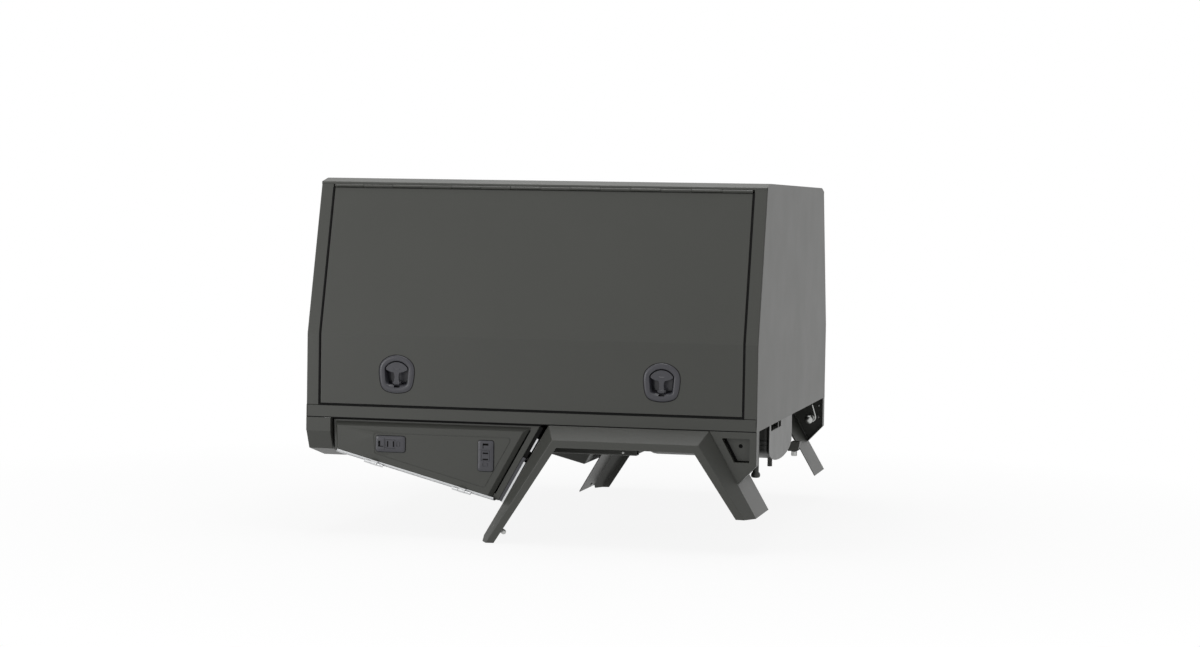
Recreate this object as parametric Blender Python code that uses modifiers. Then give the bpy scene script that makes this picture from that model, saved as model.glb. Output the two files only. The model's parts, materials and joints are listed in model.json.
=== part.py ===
"""Chassis mount tool box: a ute canopy with gullwing doors, under-tray boxes and wheel guards.

Metres, +X towards the cab, +Y left, +Z up. The origin lies on the underside of the middle
cross member, in the plane where the subframe sits on the vehicle's chassis.
"""
import math

import bmesh
import bpy
from mathutils import Matrix, Vector

# Body
LENGTH = 1.650
WIDTH = 1.780
SEAT_DROP = 0.140          # chassis seat up to the underside of the sill
SILL_H = 0.046
BEND_H = 0.304             # sill underside up to the flank's bend
SIDE_H = 0.854             # sill underside up to the top of the leaning flank
TAPER = 0.147              # how far the leaning flank comes in
ROOF_IN = 0.066
ROOF_RISE = 0.014
POST_W = 0.046
SHEET = 0.003
THIN = 0.002
GAP = 0.0003               # between pieces that touch
SILL_RETURN = 0.030

# Gullwing doors
DOOR_GAP = 0.006
JAMB_DEPTH = 0.035
JAMB_FLANGE = 0.034
DOOR_DEPTH = 0.026
DOOR_LIP = 0.030
SEAL_INSET = 0.012

# Piano hinge at the top of each gullwing door
KNUCKLE_R = 0.005
KNUCKLE_COUNT = 14
KNUCKLE_GAP = 0.0006
KNUCKLE_SIDES = 10
HINGE_OUT = 0.001          # the axis lies this far outside the skin
HINGE_DROP = 0.0154        # the axis below the top of the leaning flank, along the sheet
HINGE_CLEAR = 0.001        # between the knuckles and the door's top edge
LEAF_T = 0.002
LEAF_DEPTH = 0.026

# Gas struts
STRUT_INSET = 0.053        # in from the side of the door opening
STRUT_DEPTH = 0.052
STRUT_LOW = 0.560          # body pivot below the hinge, along the sheet
STRUT_HIGH = 0.200         # rod pivot below the hinge, along the sheet
STRUT_R = 0.009
STRUT_ROD_R = 0.004
STRUT_NECK = 0.020
STRUT_STEM = 0.050         # rod that shows between barrel and eye, along the flank
STRUT_PLUG = 0.018         # solid foot of the barrel below the rod's bore
STRUT_ROD_SHY = 0.0045     # the rod's end above the bore's floor
STRUT_EYE_R = 0.008
STRUT_EYE_T = 0.010
STRUT_TAB_T = 0.004
STRUT_TAB_H = 0.024

# T-handle latches
LATCH_INSET = 0.294        # in from the side of the door opening
LATCH_DROP = 0.140         # below the flank's bend
BEZEL_W = 0.137
BEZEL_H = 0.139
BEZEL_T = 0.005
BOWL_W = 0.094
BOWL_H = 0.095
BOWL_DEPTH = 0.024
BOWL_FLOOR = 0.90          # the bowl's floor as a share of its mouth
DISH_POINTS = 20
DISH_DRAWN = 0.05          # how far the sides draw in at mid height, as a share
DISH_FLAT = 0.8            # power that flattens the lower edge
DISH_T = 0.002
DISH_HOLE_CLEAR = 0.0085
HEAD_CLEAR = 0.0055        # between the half-moon head and the bowl's mouth
HEAD_FOOT = 0.010          # lower edge of the half-moon head above the dish's centre
HEAD_SLOPE = 0.004         # how far the head's lower edge falls towards the stem
HEAD_STEPS = 10
STEM_W = 0.022
HANDLE_T = 0.010
HANDLE_OUT = 0.002
PIVOT_DROP = 0.030         # handle pivot below the dish's centre
PIVOT_R = 0.0050
PIVOT_L = 0.028
PIVOT_OUT = 0.0015         # pivot outwards of the handle's middle
EAR_T = 0.004

# Wheel guards, heights below the sill's underside
ARCH_FRONT_IN = 0.169      # back from the front end
ARCH_SPAN = 0.577
ARCH_ANGLE = math.radians(30)
ARCH_REAR_CUT = 0.420
ARCH_FRONT_CUT = 0.300
FLARE_N = 0.047
FLARE_FOOT = 0.028         # the flare narrows to this at the feet
FLARE_OUT = 0.060
LIP_H = 0.026
TUB_DEPTH = 0.280

# Quarter panel in front of each guard
QUARTER_FRONT_H = 0.118
QUARTER_LOW_H = 0.181
QUARTER_LOW_X = 0.060      # back from the front end to the lowest corner
QUARTER_FLANGE = 0.050
QUARTER_CLEAR = 0.001
QUARTER_SHY = 0.004        # the lower back corner, back from the guard's slope
POCKET_TOP = 0.023
POCKET_LOW = 0.107
POCKET_FRONT = 0.024       # back from the front end
POCKET_TOP_W = 0.100
POCKET_LOW_W = 0.054
POCKET_DEPTH = 0.032
POCKET_RIM = 0.008

# Tail skirts
TAIL_L = 0.092
TAIL_BEND = 0.050
TAIL_LOW = 0.116
TAIL_CHAMFER = 0.034
TAIL_DEEP = 0.154
TAIL_IN = 0.200

# Under-tray toolboxes, heights below the sill's underside
TRAY_TAIL_GAP = 0.004
TRAY_GUARD_GAP = 0.032
TRAY_FRONT_RAKE = 0.1525
TRAY_FRONT_H = 0.278
TRAY_REAR_RAKE = 0.008
TRAY_REAR_H = 0.117
TRAY_FACE = 0.020          # the shell's front frame, in from the body's flank
TRAY_RAIL_GAP = 0.025
TRAY_FRAME = 0.022
PAN_TOP = 0.009
PAN_FRONT = 0.024
PAN_REAR = 0.008
PAN_LOW = 0.004
PAN_BEVEL = 0.018
PAN_LOW_BEVEL = 0.004
PAN_REAR_BEVEL = 0.010
PAN_LIP = 0.010
PAN_RAISE = 0.0145
PAN_SEAT = 0.0005
STRAP_W = 0.026
STRAP_H = 0.012
TRAY_HINGE_R = 0.005
TRAY_HINGE_OUT = 0.003     # the axis outwards of the body's flank
TRAY_HINGE_LOW = 0.0025    # the axis below the shell's floor
TRAY_HINGE_REAR = 0.160    # first hinge from the slanted floor's rear end
TRAY_HINGE_FRONT = 0.136   # second hinge from its front end
TRAY_BARREL_L = 0.022
TRAY_LEAF_IN = 0.045
TRAY_LEAF_END = 0.012
TRAY_TAB_SHY = 0.001       # how much shorter a tab is than its barrel, at each end
STRAP_FOOT = 0.001

# Push latches on the toolbox doors
PUSH_REAR_IN = 0.223       # rear latch forward of the casing's rear edge
PUSH_REAR_DROP = 0.088
PUSH_FRONT_IN = 0.0455     # front latch back from the casing's lowest corner
PUSH_FRONT_DROP = 0.118
PUSH_L = 0.110
PUSH_W = 0.058
PUSH_T = 0.006
PUSH_RIM = 0.006
PUSH_BACK = 0.0085         # core behind the button's pocket
BUTTON_L = 0.036
BUTTON_W = 0.030
BUTTON_T = 0.010
BUTTON_CLEAR = 0.0005
BUTTON_OUT = 0.0055
BUTTON_TRAVEL = 0.005
POCKET_SPARE = 0.002

# Subframe
RAIL_Y = 0.440
RAIL_W = 0.050
RAIL_WALL = 0.004
RAIL_REAR_IN = 0.035
RAIL_TANK_GAP = 0.060
MEMBER_W = 0.060
MEMBER_REAR_IN = 0.150
MEMBER_FRONT_IN = 0.035

# Water tank under the front of the floor
TANK_SPAN = 0.455          # back from the front end
TANK_GUARD_GAP = 0.041
TANK_W = 0.542
TANK_LOW = 0.138
TANK_BELLY = 0.046         # height of the oval belly
TANK_ARC_POINTS = 13
BRACKET_MARGIN = 0.006
NOTCH_IN = 0.030
NOTCH_W = 0.240
NOTCH_TOP = 0.012
NOTCH_LOW = 0.024
DRAIN_R = 0.009
DRAIN_BACK = 0.012         # behind the end plate
DRAIN_IN = 0.109           # in from the tank's near side
DRAIN_LOW = 0.159

# Drain spout and tap at the front corners
SPOUT_R = 0.011
SPOUT_FOOT_R = 0.0165
SPOUT_FOOT_H = 0.019
SPOUT_BACK = 0.017
SPOUT_IN = 0.100
SPOUT_LOW = 0.167
TAP_BACK = 0.050
TAP_LOW = 0.088
TAP_IN = 0.120
TAP_BALL_R = 0.018
TAP_PIPE_R = 0.008
BALL_RINGS = 8

ROUND_SIDES = 12
HALF_L = LENGTH / 2
HALF_W = WIDTH / 2
LEAN = math.atan2(TAPER, SIDE_H - BEND_H)
FLANK_H = BEND_H + math.hypot(TAPER, SIDE_H - BEND_H)
HINGE_RISE = FLANK_H - HINGE_DROP
DOOR_TOP = HINGE_RISE - KNUCKLE_R - HINGE_CLEAR
LEAF_LOW = DOOR_TOP + GAP
LEAF_HIGH = HINGE_RISE + (HINGE_RISE - LEAF_LOW) - LEAF_T
OPEN_HALF = HALF_L - POST_W
STRUT_X = OPEN_HALF - STRUT_INSET
STRUT_BARREL = STRUT_LOW - STRUT_HIGH - STRUT_NECK - STRUT_STEM
LATCH_X = OPEN_HALF - LATCH_INSET
LATCH_Z = BEND_H - LATCH_DROP
DISH_HOLE_R = max(BOWL_W, BOWL_H) / 2 + DISH_HOLE_CLEAR
HEAD_R = min(BOWL_W, BOWL_H) / 2 - HEAD_CLEAR
OPEN_LOW = SILL_H + GAP + THIN
OPEN_HIGH = LEAF_HIGH + LEAF_T + GAP
SEAL_R = (JAMB_DEPTH - DOOR_DEPTH) / 2 - GAP
DOOR_HALF = OPEN_HALF - DOOR_GAP
DOOR_LOW = OPEN_LOW + DOOR_GAP - THIN
FLOOR_TOP = SEAT_DROP + SILL_H
FLOOR_UNDER = FLOOR_TOP - SHEET - GAP
WALL_INNER = HALF_L - SHEET - GAP
ARCH_FRONT = LENGTH - ARCH_FRONT_IN
ARCH_REAR = ARCH_FRONT - ARCH_SPAN
TRAY_REAR = TAIL_L + TRAY_TAIL_GAP
TRAY_LOW_REAR = TRAY_REAR + TRAY_REAR_RAKE
TRAY_TOP_FRONT = ARCH_REAR - TRAY_GUARD_GAP
TRAY_LOW_FRONT = TRAY_TOP_FRONT - TRAY_FRONT_RAKE
TRAY_BACK = HALF_W - RAIL_Y - RAIL_W / 2 - TRAY_RAIL_GAP
TRAY_EDGE = math.hypot(TRAY_LOW_FRONT - TRAY_LOW_REAR, TRAY_FRONT_H - TRAY_REAR_H)
TRAY_HINGE_AT = (TRAY_HINGE_REAR, TRAY_EDGE - TRAY_HINGE_FRONT)
PUSH_REAR = (TRAY_REAR + PUSH_REAR_IN, PUSH_REAR_DROP, False)
PUSH_FRONT = (TRAY_LOW_FRONT - PUSH_FRONT_IN, PUSH_FRONT_DROP, True)
PUSH_CORE_L = PUSH_L - 2 * PUSH_RIM
PUSH_CORE_W = PUSH_W - 2 * PUSH_RIM
BUTTON_FLOOR = BUTTON_T - BUTTON_OUT + BUTTON_TRAVEL + POCKET_SPARE
TANK_REAR = HALF_L - TANK_SPAN
TANK_SIDE = TUB_DEPTH + TANK_GUARD_GAP
TANK_SPRING = SEAT_DROP - TANK_LOW + TANK_BELLY
RAIL_REAR = RAIL_REAR_IN - HALF_L
RAIL_FRONT = TANK_REAR - RAIL_TANK_GAP
MEMBER_X = (RAIL_REAR + MEMBER_REAR_IN, 0.0, RAIL_FRONT - MEMBER_FRONT_IN)
SPOUT_X = HALF_L - SPOUT_BACK
TAP_X = HALF_L - TAP_BACK
SIDES = (("right", -1), ("left", 1))
ENDS = (("rear", -1), ("front", 1))

for old in list(bpy.data.objects):
    bpy.data.objects.remove(old, do_unlink=True)

PARTS = bpy.data.collections.new("chassis_mount_tool_box")
CUTTERS = bpy.data.collections.new("cutters_and_additions")
bpy.context.scene.collection.children.link(PARTS)
bpy.context.scene.collection.children.link(CUTTERS)


def make_material(name, colour, roughness, metallic=0.0):
    """A plain Principled material."""
    material = bpy.data.materials.new(name)
    material.use_nodes = True
    shader = material.node_tree.nodes["Principled BSDF"]
    shader.inputs["Base Color"].default_value = (*colour, 1.0)
    shader.inputs["Roughness"].default_value = roughness
    shader.inputs["Metallic"].default_value = metallic
    return material


PAINT = (0.075, 0.078, 0.070)
LATCH_GREY = (0.060, 0.060, 0.070)
BLACK = (0.012, 0.012, 0.012)
BRIGHT = (0.550, 0.550, 0.560)
TANK_GREY = (0.200, 0.200, 0.195)


def axis_empty(name, place):
    """An empty that carries the pieces of one body."""
    empty = bpy.data.objects.new(name, None)
    empty.location = place
    PARTS.objects.link(empty)
    return empty


def put(name, bm, parent, colour=PAINT, roughness=0.45, metallic=0.0):
    """Turn a bmesh in world coordinates into a named part under its body's empty."""
    mesh = bpy.data.meshes.new(name)
    bm.to_mesh(mesh)
    bm.free()
    mesh.materials.append(make_material(name, colour, roughness, metallic))
    part = bpy.data.objects.new(name, mesh)
    PARTS.objects.link(part)
    part.parent = parent
    part.matrix_parent_inverse = Matrix.Translation(-parent.location)
    return part


def helper(name, bm):
    """A hidden mesh that cuts or extends a part."""
    mesh = bpy.data.meshes.new(name)
    bm.to_mesh(mesh)
    bm.free()
    shape = bpy.data.objects.new(name, mesh)
    CUTTERS.objects.link(shape)
    shape.hide_render = True
    shape.display_type = "WIRE"
    return shape


def boolean(part, bm, operation, label):
    """Cut a helper shape out of a part, or join it to the part."""
    modifier = part.modifiers.new(label, "BOOLEAN")
    modifier.operation = operation
    modifier.object = helper(part.name + "_" + label, bm)
    modifier.solver = "EXACT"


def thicken(part, thickness):
    """Give an open sheet its thickness, behind the face that shows."""
    modifier = part.modifiers.new("sheet", "SOLIDIFY")
    modifier.thickness = thickness
    modifier.offset = -1.0
    modifier.solidify_mode = "NON_MANIFOLD"
    modifier.nonmanifold_thickness_mode = "CONSTRAINTS"


def face_from(bm, point, towards):
    """Turn the sheet so that its first face looks towards a point, or away from it."""
    bmesh.ops.recalc_face_normals(bm, faces=bm.faces)
    bm.faces.ensure_lookup_table()
    first = bm.faces[0]
    looks = first.normal.dot(Vector(point) - first.calc_center_median()) > 0
    if looks != towards:
        bmesh.ops.reverse_faces(bm, faces=bm.faces)


def loft(loops, closed, caps=()):
    """Join rows of points with quads; each cap is a row number and its point numbers."""
    bm = bmesh.new()
    rows = [[bm.verts.new(point) for point in loop] for loop in loops]
    for first, second in zip(rows, rows[1:]):
        count = len(first)
        for i in range(count if closed else count - 1):
            j = (i + 1) % count
            bm.faces.new((first[i], first[j], second[j], second[i]))
    for row, numbers in caps:
        bm.faces.new([rows[row][i] for i in numbers])
    return bm


def prism(outline, shift):
    """A flat outline pushed along a vector, as a closed solid."""
    bm = bmesh.new()
    base = bm.faces.new([bm.verts.new(point) for point in outline])
    grown = bmesh.ops.extrude_face_region(bm, geom=[base])
    tops = [item for item in grown["geom"] if isinstance(item, bmesh.types.BMVert)]
    bmesh.ops.translate(bm, verts=tops, vec=shift)
    bmesh.ops.recalc_face_normals(bm, faces=bm.faces)
    return bm


def box(low, high):
    """A cube primitive between two corners."""
    bm = bmesh.new()
    low = Vector(low)
    high = Vector(high)
    place = Matrix.Translation((low + high) / 2) @ Matrix.Diagonal((*(high - low), 1.0))
    bmesh.ops.create_cube(bm, size=1.0, matrix=place)
    return bm


def rod(start, end, radius, sides=ROUND_SIDES):
    """A cylinder primitive between two points."""
    start = Vector(start)
    end = Vector(end)
    turn = (end - start).to_track_quat("Z", "Y").to_matrix().to_4x4()
    bm = bmesh.new()
    bmesh.ops.create_cone(bm, cap_ends=True, segments=sides, radius1=radius, radius2=radius,
                          depth=(end - start).length,
                          matrix=Matrix.Translation((start + end) / 2) @ turn)
    return bm


def combine(shapes):
    """Several closed shapes in one mesh, for one Boolean."""
    bm = bmesh.new()
    for shape in shapes:
        piece = bpy.data.meshes.new("piece")
        shape.to_mesh(piece)
        shape.free()
        bm.from_mesh(piece)
        bpy.data.meshes.remove(piece)
    return bm


def inset(outline, margins):
    """Move each edge of a convex (x, z) outline inwards by its own margin."""
    middle = sum((Vector(point) for point in outline), Vector((0.0, 0.0))) / len(outline)
    lines = []
    for i, margin in enumerate(margins):
        start = Vector(outline[i])
        along = (Vector(outline[(i + 1) % len(outline)]) - start).normalized()
        across = Vector((-along.y, along.x))
        if across.dot(middle - start) < 0:
            across = -across
        lines.append((start + across * margin, along))
    corners = []
    for i, (start, along) in enumerate(lines):
        before, direction = lines[i - 1]
        cross = direction.x * along.y - direction.y * along.x
        offset = start - before
        reach = (offset.x * along.y - offset.y * along.x) / cross
        corners.append(before + direction * reach)
    return [(corner.x, corner.y) for corner in corners]


def flank(side, x, rise, depth):
    """A point on one flank: rise runs up the sheet from the sill, depth runs inwards."""
    if rise < BEND_H:
        inward = depth
        height = rise
    elif rise == BEND_H:
        inward = depth
        height = rise - depth * math.tan(LEAN / 2)
    else:
        along = rise - BEND_H
        inward = along * math.sin(LEAN) + depth * math.cos(LEAN)
        height = BEND_H + along * math.cos(LEAN) - depth * math.sin(LEAN)
    return Vector((x, side * (HALF_W - inward), SEAT_DROP + height))


def flank_loop(side, half, low, high, depth):
    """A ring of points that follows the bent flank."""
    corners = ((-half, low), (half, low), (half, BEND_H),
               (half, high), (-half, high), (-half, BEND_H))
    return [flank(side, x, rise, depth) for x, rise in corners]


def under(side, x_from_rear, drop, inward):
    """A point below the sill: x from the rear end, drop down from the sill's underside."""
    return Vector((x_from_rear - HALF_L, side * (HALF_W - inward), SEAT_DROP - drop))


def make_floor(body):
    """Floor sheet with its sides folded down as sills."""
    low = SEAT_DROP
    profile = ((-HALF_W + SILL_RETURN, low), (-HALF_W, low), (-HALF_W, FLOOR_TOP),
               (HALF_W, FLOOR_TOP), (HALF_W, low), (HALF_W - SILL_RETURN, low))
    loops = [[(x, y, z) for y, z in profile] for x in (-WALL_INNER, WALL_INNER)]
    bm = loft(loops, closed=False)
    face_from(bm, (0, 0, FLOOR_TOP), towards=False)
    thicken(put("floor_tray", bm, body), SHEET)


def make_roof(body):
    """Roof sheet with its chamfers and the short lips above the hinges."""
    lip = OPEN_HIGH + GAP

    def profile(x):
        right = [flank(-1, x, lip, 0), flank(-1, x, FLANK_H, 0)]
        right.append(right[1] + Vector((0, ROOF_IN, ROOF_RISE)))
        left = [Vector((point.x, -point.y, point.z)) for point in reversed(right)]
        return right + left

    bm = loft([profile(-WALL_INNER), profile(WALL_INNER)], closed=False)
    face_from(bm, (0, 0, 0), towards=False)
    thicken(put("roof_panel", bm, body), SHEET)


def make_end_wall(name, end, body):
    """End sheet whose edges are folded round as the door posts."""
    x = end * HALF_L
    rises = (0.0, SILL_H + GAP, BEND_H, OPEN_HIGH, FLANK_H)
    right = [flank(-1, x, rise, 0) for rise in rises]
    right.append(right[-1] + Vector((0, ROOF_IN, ROOF_RISE)))
    left = [Vector((point.x, -point.y, point.z)) for point in reversed(right)]
    bm = bmesh.new()
    verts = [bm.verts.new(point) for point in right + left]
    bm.faces.new(verts)
    bm.edges.ensure_lookup_table()
    last = len(verts) - 1
    posts = [bm.edges.get((verts[i], verts[i + 1])) for i in (1, 2)]
    posts += [bm.edges.get((verts[last - i], verts[last - i - 1])) for i in (1, 2)]
    grown = bmesh.ops.extrude_edge_only(bm, edges=posts)
    new = [item for item in grown["geom"] if isinstance(item, bmesh.types.BMVert)]
    bmesh.ops.translate(bm, verts=new, vec=(-end * POST_W, 0, 0))
    face_from(bm, (0, 0, 0), towards=False)
    thicken(put(name, bm, body), SHEET)


def make_door_frame(label, side, body):
    """Folded rebate round the door opening, with tabs for the gas struts."""
    loops = [flank_loop(side, OPEN_HALF, OPEN_LOW, OPEN_HIGH, SHEET + GAP),
             flank_loop(side, OPEN_HALF, OPEN_LOW, OPEN_HIGH, JAMB_DEPTH),
             flank_loop(side, OPEN_HALF - JAMB_FLANGE, OPEN_LOW + JAMB_FLANGE,
                        OPEN_HIGH - JAMB_FLANGE, JAMB_DEPTH)]
    bm = loft(loops, closed=True)
    face_from(bm, (0, side * HALF_W, SEAT_DROP + BEND_H), towards=True)
    frame = put(label + "_door_frame", bm, body)
    thicken(frame, THIN)
    rise = HINGE_RISE - STRUT_LOW
    tabs = [strut_tab(side, end, rise, JAMB_DEPTH + THIN / 2, OPEN_HALF - 2 * THIN)
            for end in (-1, 1)]
    boolean(frame, combine(tabs), "UNION", "strut_tabs")
    return frame


def strut_tab(side, end, rise, depth, outer):
    """An angle bracket whose upright leg stands beside a strut's eye."""
    near = STRUT_X + STRUT_EYE_T / 2 + GAP
    far_depth = STRUT_DEPTH + STRUT_EYE_R
    low = rise - STRUT_TAB_H / 2
    section = ((near, far_depth), (near, depth), (outer, depth), (outer, depth + STRUT_TAB_T),
               (near + STRUT_TAB_T, depth + STRUT_TAB_T), (near + STRUT_TAB_T, far_depth))
    outline = [flank(side, end * x, low, inward) for x, inward in section]
    top = flank(side, end * near, low + STRUT_TAB_H, depth)
    return prism(outline, top - flank(side, end * near, low, depth))


def make_seal(label, side, body):
    """Bulb seal that runs round the frame, under the door's inner lip."""
    depth = (JAMB_DEPTH + DOOR_DEPTH) / 2
    points = flank_loop(side, DOOR_HALF - SEAL_INSET, DOOR_LOW + SEAL_INSET,
                        DOOR_TOP - SEAL_INSET, depth)
    name = label + "_door_seal"
    curve = bpy.data.curves.new(name, "CURVE")
    curve.dimensions = "3D"
    curve.bevel_depth = SEAL_R
    curve.bevel_resolution = 2
    spline = curve.splines.new("POLY")
    spline.points.add(len(points) - 1)
    for knot, point in zip(spline.points, points):
        knot.co = (*point, 1.0)
    spline.use_cyclic_u = True
    curve.materials.append(make_material(name, BLACK, 0.8))
    seal = bpy.data.objects.new(name, curve)
    PARTS.objects.link(seal)
    seal.parent = body
    seal.matrix_parent_inverse = Matrix.Translation(-body.location)


def make_door(label, side, body):
    """Door pan: bent skin, returns and inner lips, cut for the two latch dishes."""
    loops = [flank_loop(side, DOOR_HALF, DOOR_LOW, DOOR_TOP, 0),
             flank_loop(side, DOOR_HALF, DOOR_LOW, DOOR_TOP, DOOR_DEPTH),
             flank_loop(side, DOOR_HALF - DOOR_LIP, DOOR_LOW + DOOR_LIP,
                        DOOR_TOP - DOOR_LIP, DOOR_DEPTH)]
    bm = loft(loops, closed=True, caps=((0, (0, 1, 2, 5)), (0, (5, 2, 3, 4))))
    face_from(bm, (0, side * HALF_W, SEAT_DROP + BEND_H), towards=False)
    door = put(label + "_door", bm, body)
    thicken(door, THIN)
    holes = []
    for x in (-LATCH_X, LATCH_X):
        middle = flank(side, x, LATCH_Z, 0)
        reach = Vector((0, side * DOOR_DEPTH / 2, 0))
        holes.append(rod(middle - reach, middle + reach, DISH_HOLE_R, DISH_POINTS))
    boolean(door, combine(holes), "DIFFERENCE", "latch_holes")
    rise = HINGE_RISE - STRUT_HIGH
    inside_seal = DOOR_HALF - SEAL_INSET - SEAL_R - THIN
    tabs = [strut_tab(side, end, rise, DOOR_DEPTH - THIN / 2, inside_seal) for end in (-1, 1)]
    boolean(door, combine(tabs), "UNION", "strut_tabs")


def hinge_axis(side):
    """A point on the door hinge's axis, in the middle of the door."""
    return flank(side, 0, HINGE_RISE, -HINGE_OUT)


def make_hinge_leaf(name, side, first, low, body):
    """One leaf of the piano hinge, with a tab and a knuckle at every second place."""
    pitch = 2 * DOOR_HALF / KNUCKLE_COUNT
    starts = [-DOOR_HALF + i * pitch for i in range(first, KNUCKLE_COUNT, 2)]
    front = KNUCKLE_R - HINGE_OUT + KNUCKLE_GAP
    outline = [(-DOOR_HALF, LEAF_DEPTH), (-DOOR_HALF, front)]
    for start in starts:
        tab = (start + 2 * KNUCKLE_GAP, start + pitch - 2 * KNUCKLE_GAP)
        outline += [(tab[0], front), (tab[0], -HINGE_OUT), (tab[1], -HINGE_OUT), (tab[1], front)]
    outline += [(DOOR_HALF, front), (DOOR_HALF, LEAF_DEPTH)]
    points = [flank(side, x, low, inward) for x, inward in outline]
    rise = flank(side, 0, low + LEAF_T, 0) - flank(side, 0, low, 0)
    leaf = put(name, prism(points, rise), body, BRIGHT, 0.4, 0.8)
    axis = hinge_axis(side)
    knuckles = [rod(axis + Vector((start + KNUCKLE_GAP, 0, 0)),
                    axis + Vector((start + pitch - KNUCKLE_GAP, 0, 0)),
                    KNUCKLE_R, KNUCKLE_SIDES) for start in starts]
    boolean(leaf, combine(knuckles), "UNION", "knuckles")


def dish_loop(side, x, width, height, depth):
    """Dish outline: round above, drawn in and flatter below."""
    points = []
    for i in range(DISH_POINTS):
        angle = 2 * math.pi * i / DISH_POINTS
        rise = math.sin(angle)
        if rise < 0:
            rise = -abs(rise) ** DISH_FLAT
        across = math.cos(angle) * (1 - DISH_DRAWN * (1 - rise))
        points.append(flank(side, x + across * width / 2, LATCH_Z + rise * height / 2, depth))
    return points


def make_dish(name, side, x, body):
    """Bezel and bowl of a T-handle latch, with two ears for the handle's pivot."""
    loops = [dish_loop(side, x, BEZEL_W, BEZEL_H, -GAP),
             dish_loop(side, x, BEZEL_W, BEZEL_H, -BEZEL_T),
             dish_loop(side, x, BOWL_W, BOWL_H, -BEZEL_T),
             dish_loop(side, x, BOWL_W * BOWL_FLOOR, BOWL_H * BOWL_FLOOR, BOWL_DEPTH)]
    bm = loft(loops, closed=True, caps=((3, range(DISH_POINTS)),))
    face_from(bm, flank(side, x, LATCH_Z, 0), towards=False)
    dish = put(name, bm, body, LATCH_GREY, 0.5)
    thicken(dish, DISH_T)
    ears = []
    rise = LATCH_Z - PIVOT_DROP
    near = PIVOT_L / 2 + GAP
    for way in (-1, 1):
        corner = flank(side, x + way * near, rise - PIVOT_R, pivot_depth() - PIVOT_R)
        other = flank(side, x + way * (near + EAR_T), rise + PIVOT_R, BOWL_DEPTH + DISH_T / 2)
        low = Vector(map(min, corner, other))
        high = Vector(map(max, corner, other))
        ears.append(box(low, high))
    boolean(dish, combine(ears), "UNION", "ears")


def pivot_depth():
    """Depth of the T-handle's pivot behind the skin."""
    return HANDLE_T / 2 - HANDLE_OUT - PIVOT_OUT


def handle_axis(side, x):
    """Centre of the T-handle's pivot."""
    return flank(side, x, LATCH_Z - PIVOT_DROP, pivot_depth())


def make_handle(name, side, x, body):
    """T-handle: a half-moon head on a stem, with its pivot barrel at the foot."""
    arc = []
    start = math.asin(HEAD_FOOT / HEAD_R)
    for i in range(HEAD_STEPS + 1):
        angle = start + (math.pi - 2 * start) * i / HEAD_STEPS
        arc.append((HEAD_R * math.cos(angle), HEAD_R * math.sin(angle)))
    half = STEM_W / 2
    neck = HEAD_FOOT - HEAD_SLOPE
    outline = arc + [(-half, neck), (-half, -PIVOT_DROP), (half, -PIVOT_DROP), (half, neck)]
    points = [flank(side, x + a, LATCH_Z + b, -HANDLE_OUT) for a, b in outline]
    shift = Vector((0, -side * HANDLE_T, 0))
    handle = put(name, prism(points, shift), body, LATCH_GREY, 0.45)
    axis = handle_axis(side, x)
    reach = Vector((PIVOT_L / 2, 0, 0))
    boolean(handle, rod(axis - reach, axis + reach, PIVOT_R), "UNION", "pivot_barrel")


def make_strut(label, side, end, cylinder_body, rod_body):
    """Gas strut: a cylinder on the frame and a rod that ends at the door's tab."""
    x = end * STRUT_X
    low = flank(side, x, HINGE_RISE - STRUT_LOW, STRUT_DEPTH)
    high = flank(side, x, HINGE_RISE - STRUT_HIGH, STRUT_DEPTH)
    along = (high - low).normalized()
    across = Vector((STRUT_EYE_T / 2, 0, 0))
    foot = low + along * STRUT_NECK
    top = foot + along * STRUT_BARREL
    cylinder = put(label + "_strut_cylinder", rod(foot, top, STRUT_R), cylinder_body, BLACK, 0.4)
    boolean(cylinder, rod(low, foot + along * STRUT_R, STRUT_ROD_R), "UNION", "neck")
    boolean(cylinder, rod(low - across, low + across, STRUT_EYE_R), "UNION", "eye")
    bore = rod(foot + along * STRUT_PLUG, top + along * STRUT_R, STRUT_ROD_R + GAP)
    boolean(cylinder, bore, "DIFFERENCE", "rod_bore")
    rod_end = foot + along * (STRUT_PLUG + STRUT_ROD_SHY)
    stem = put(label + "_strut_rod", rod(rod_end, high, STRUT_ROD_R), rod_body, BRIGHT, 0.25, 0.9)
    boolean(stem, rod(high - across, high + across, STRUT_EYE_R), "UNION", "eye")


def arch_path(side, offset, foot, inward):
    """The guard's four corners, offset towards the wheel under the sill and at the feet."""
    slope = math.tan(ARCH_ANGLE)
    lean = offset / math.cos(ARCH_ANGLE) - slope * offset
    shift = foot / math.cos(ARCH_ANGLE)
    corners = ((ARCH_REAR + shift - slope * (ARCH_REAR_CUT - GAP), ARCH_REAR_CUT),
               (ARCH_REAR + lean, GAP + offset), (ARCH_FRONT - lean, GAP + offset),
               (ARCH_FRONT - shift + slope * (ARCH_FRONT_CUT - GAP), ARCH_FRONT_CUT))
    return [under(side, x, drop, inward) for x, drop in corners]


def make_guard(label, side, body):
    """Angular wheel guard: tub, sloping flare and upright lip, all one folded sheet."""
    loops = [arch_path(side, 0, 0, TUB_DEPTH), arch_path(side, 0, 0, 0),
             arch_path(side, FLARE_N, FLARE_FOOT, -FLARE_OUT),
             arch_path(side, FLARE_N + LIP_H, FLARE_FOOT + LIP_H, -FLARE_OUT)]
    bm = loft(loops, closed=False)
    middle = under(side, (ARCH_REAR + ARCH_FRONT) / 2, ARCH_FRONT_CUT, TUB_DEPTH / 2)
    face_from(bm, middle, towards=False)
    thicken(put(label + "_wheel_guard", bm, body), SHEET)


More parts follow.
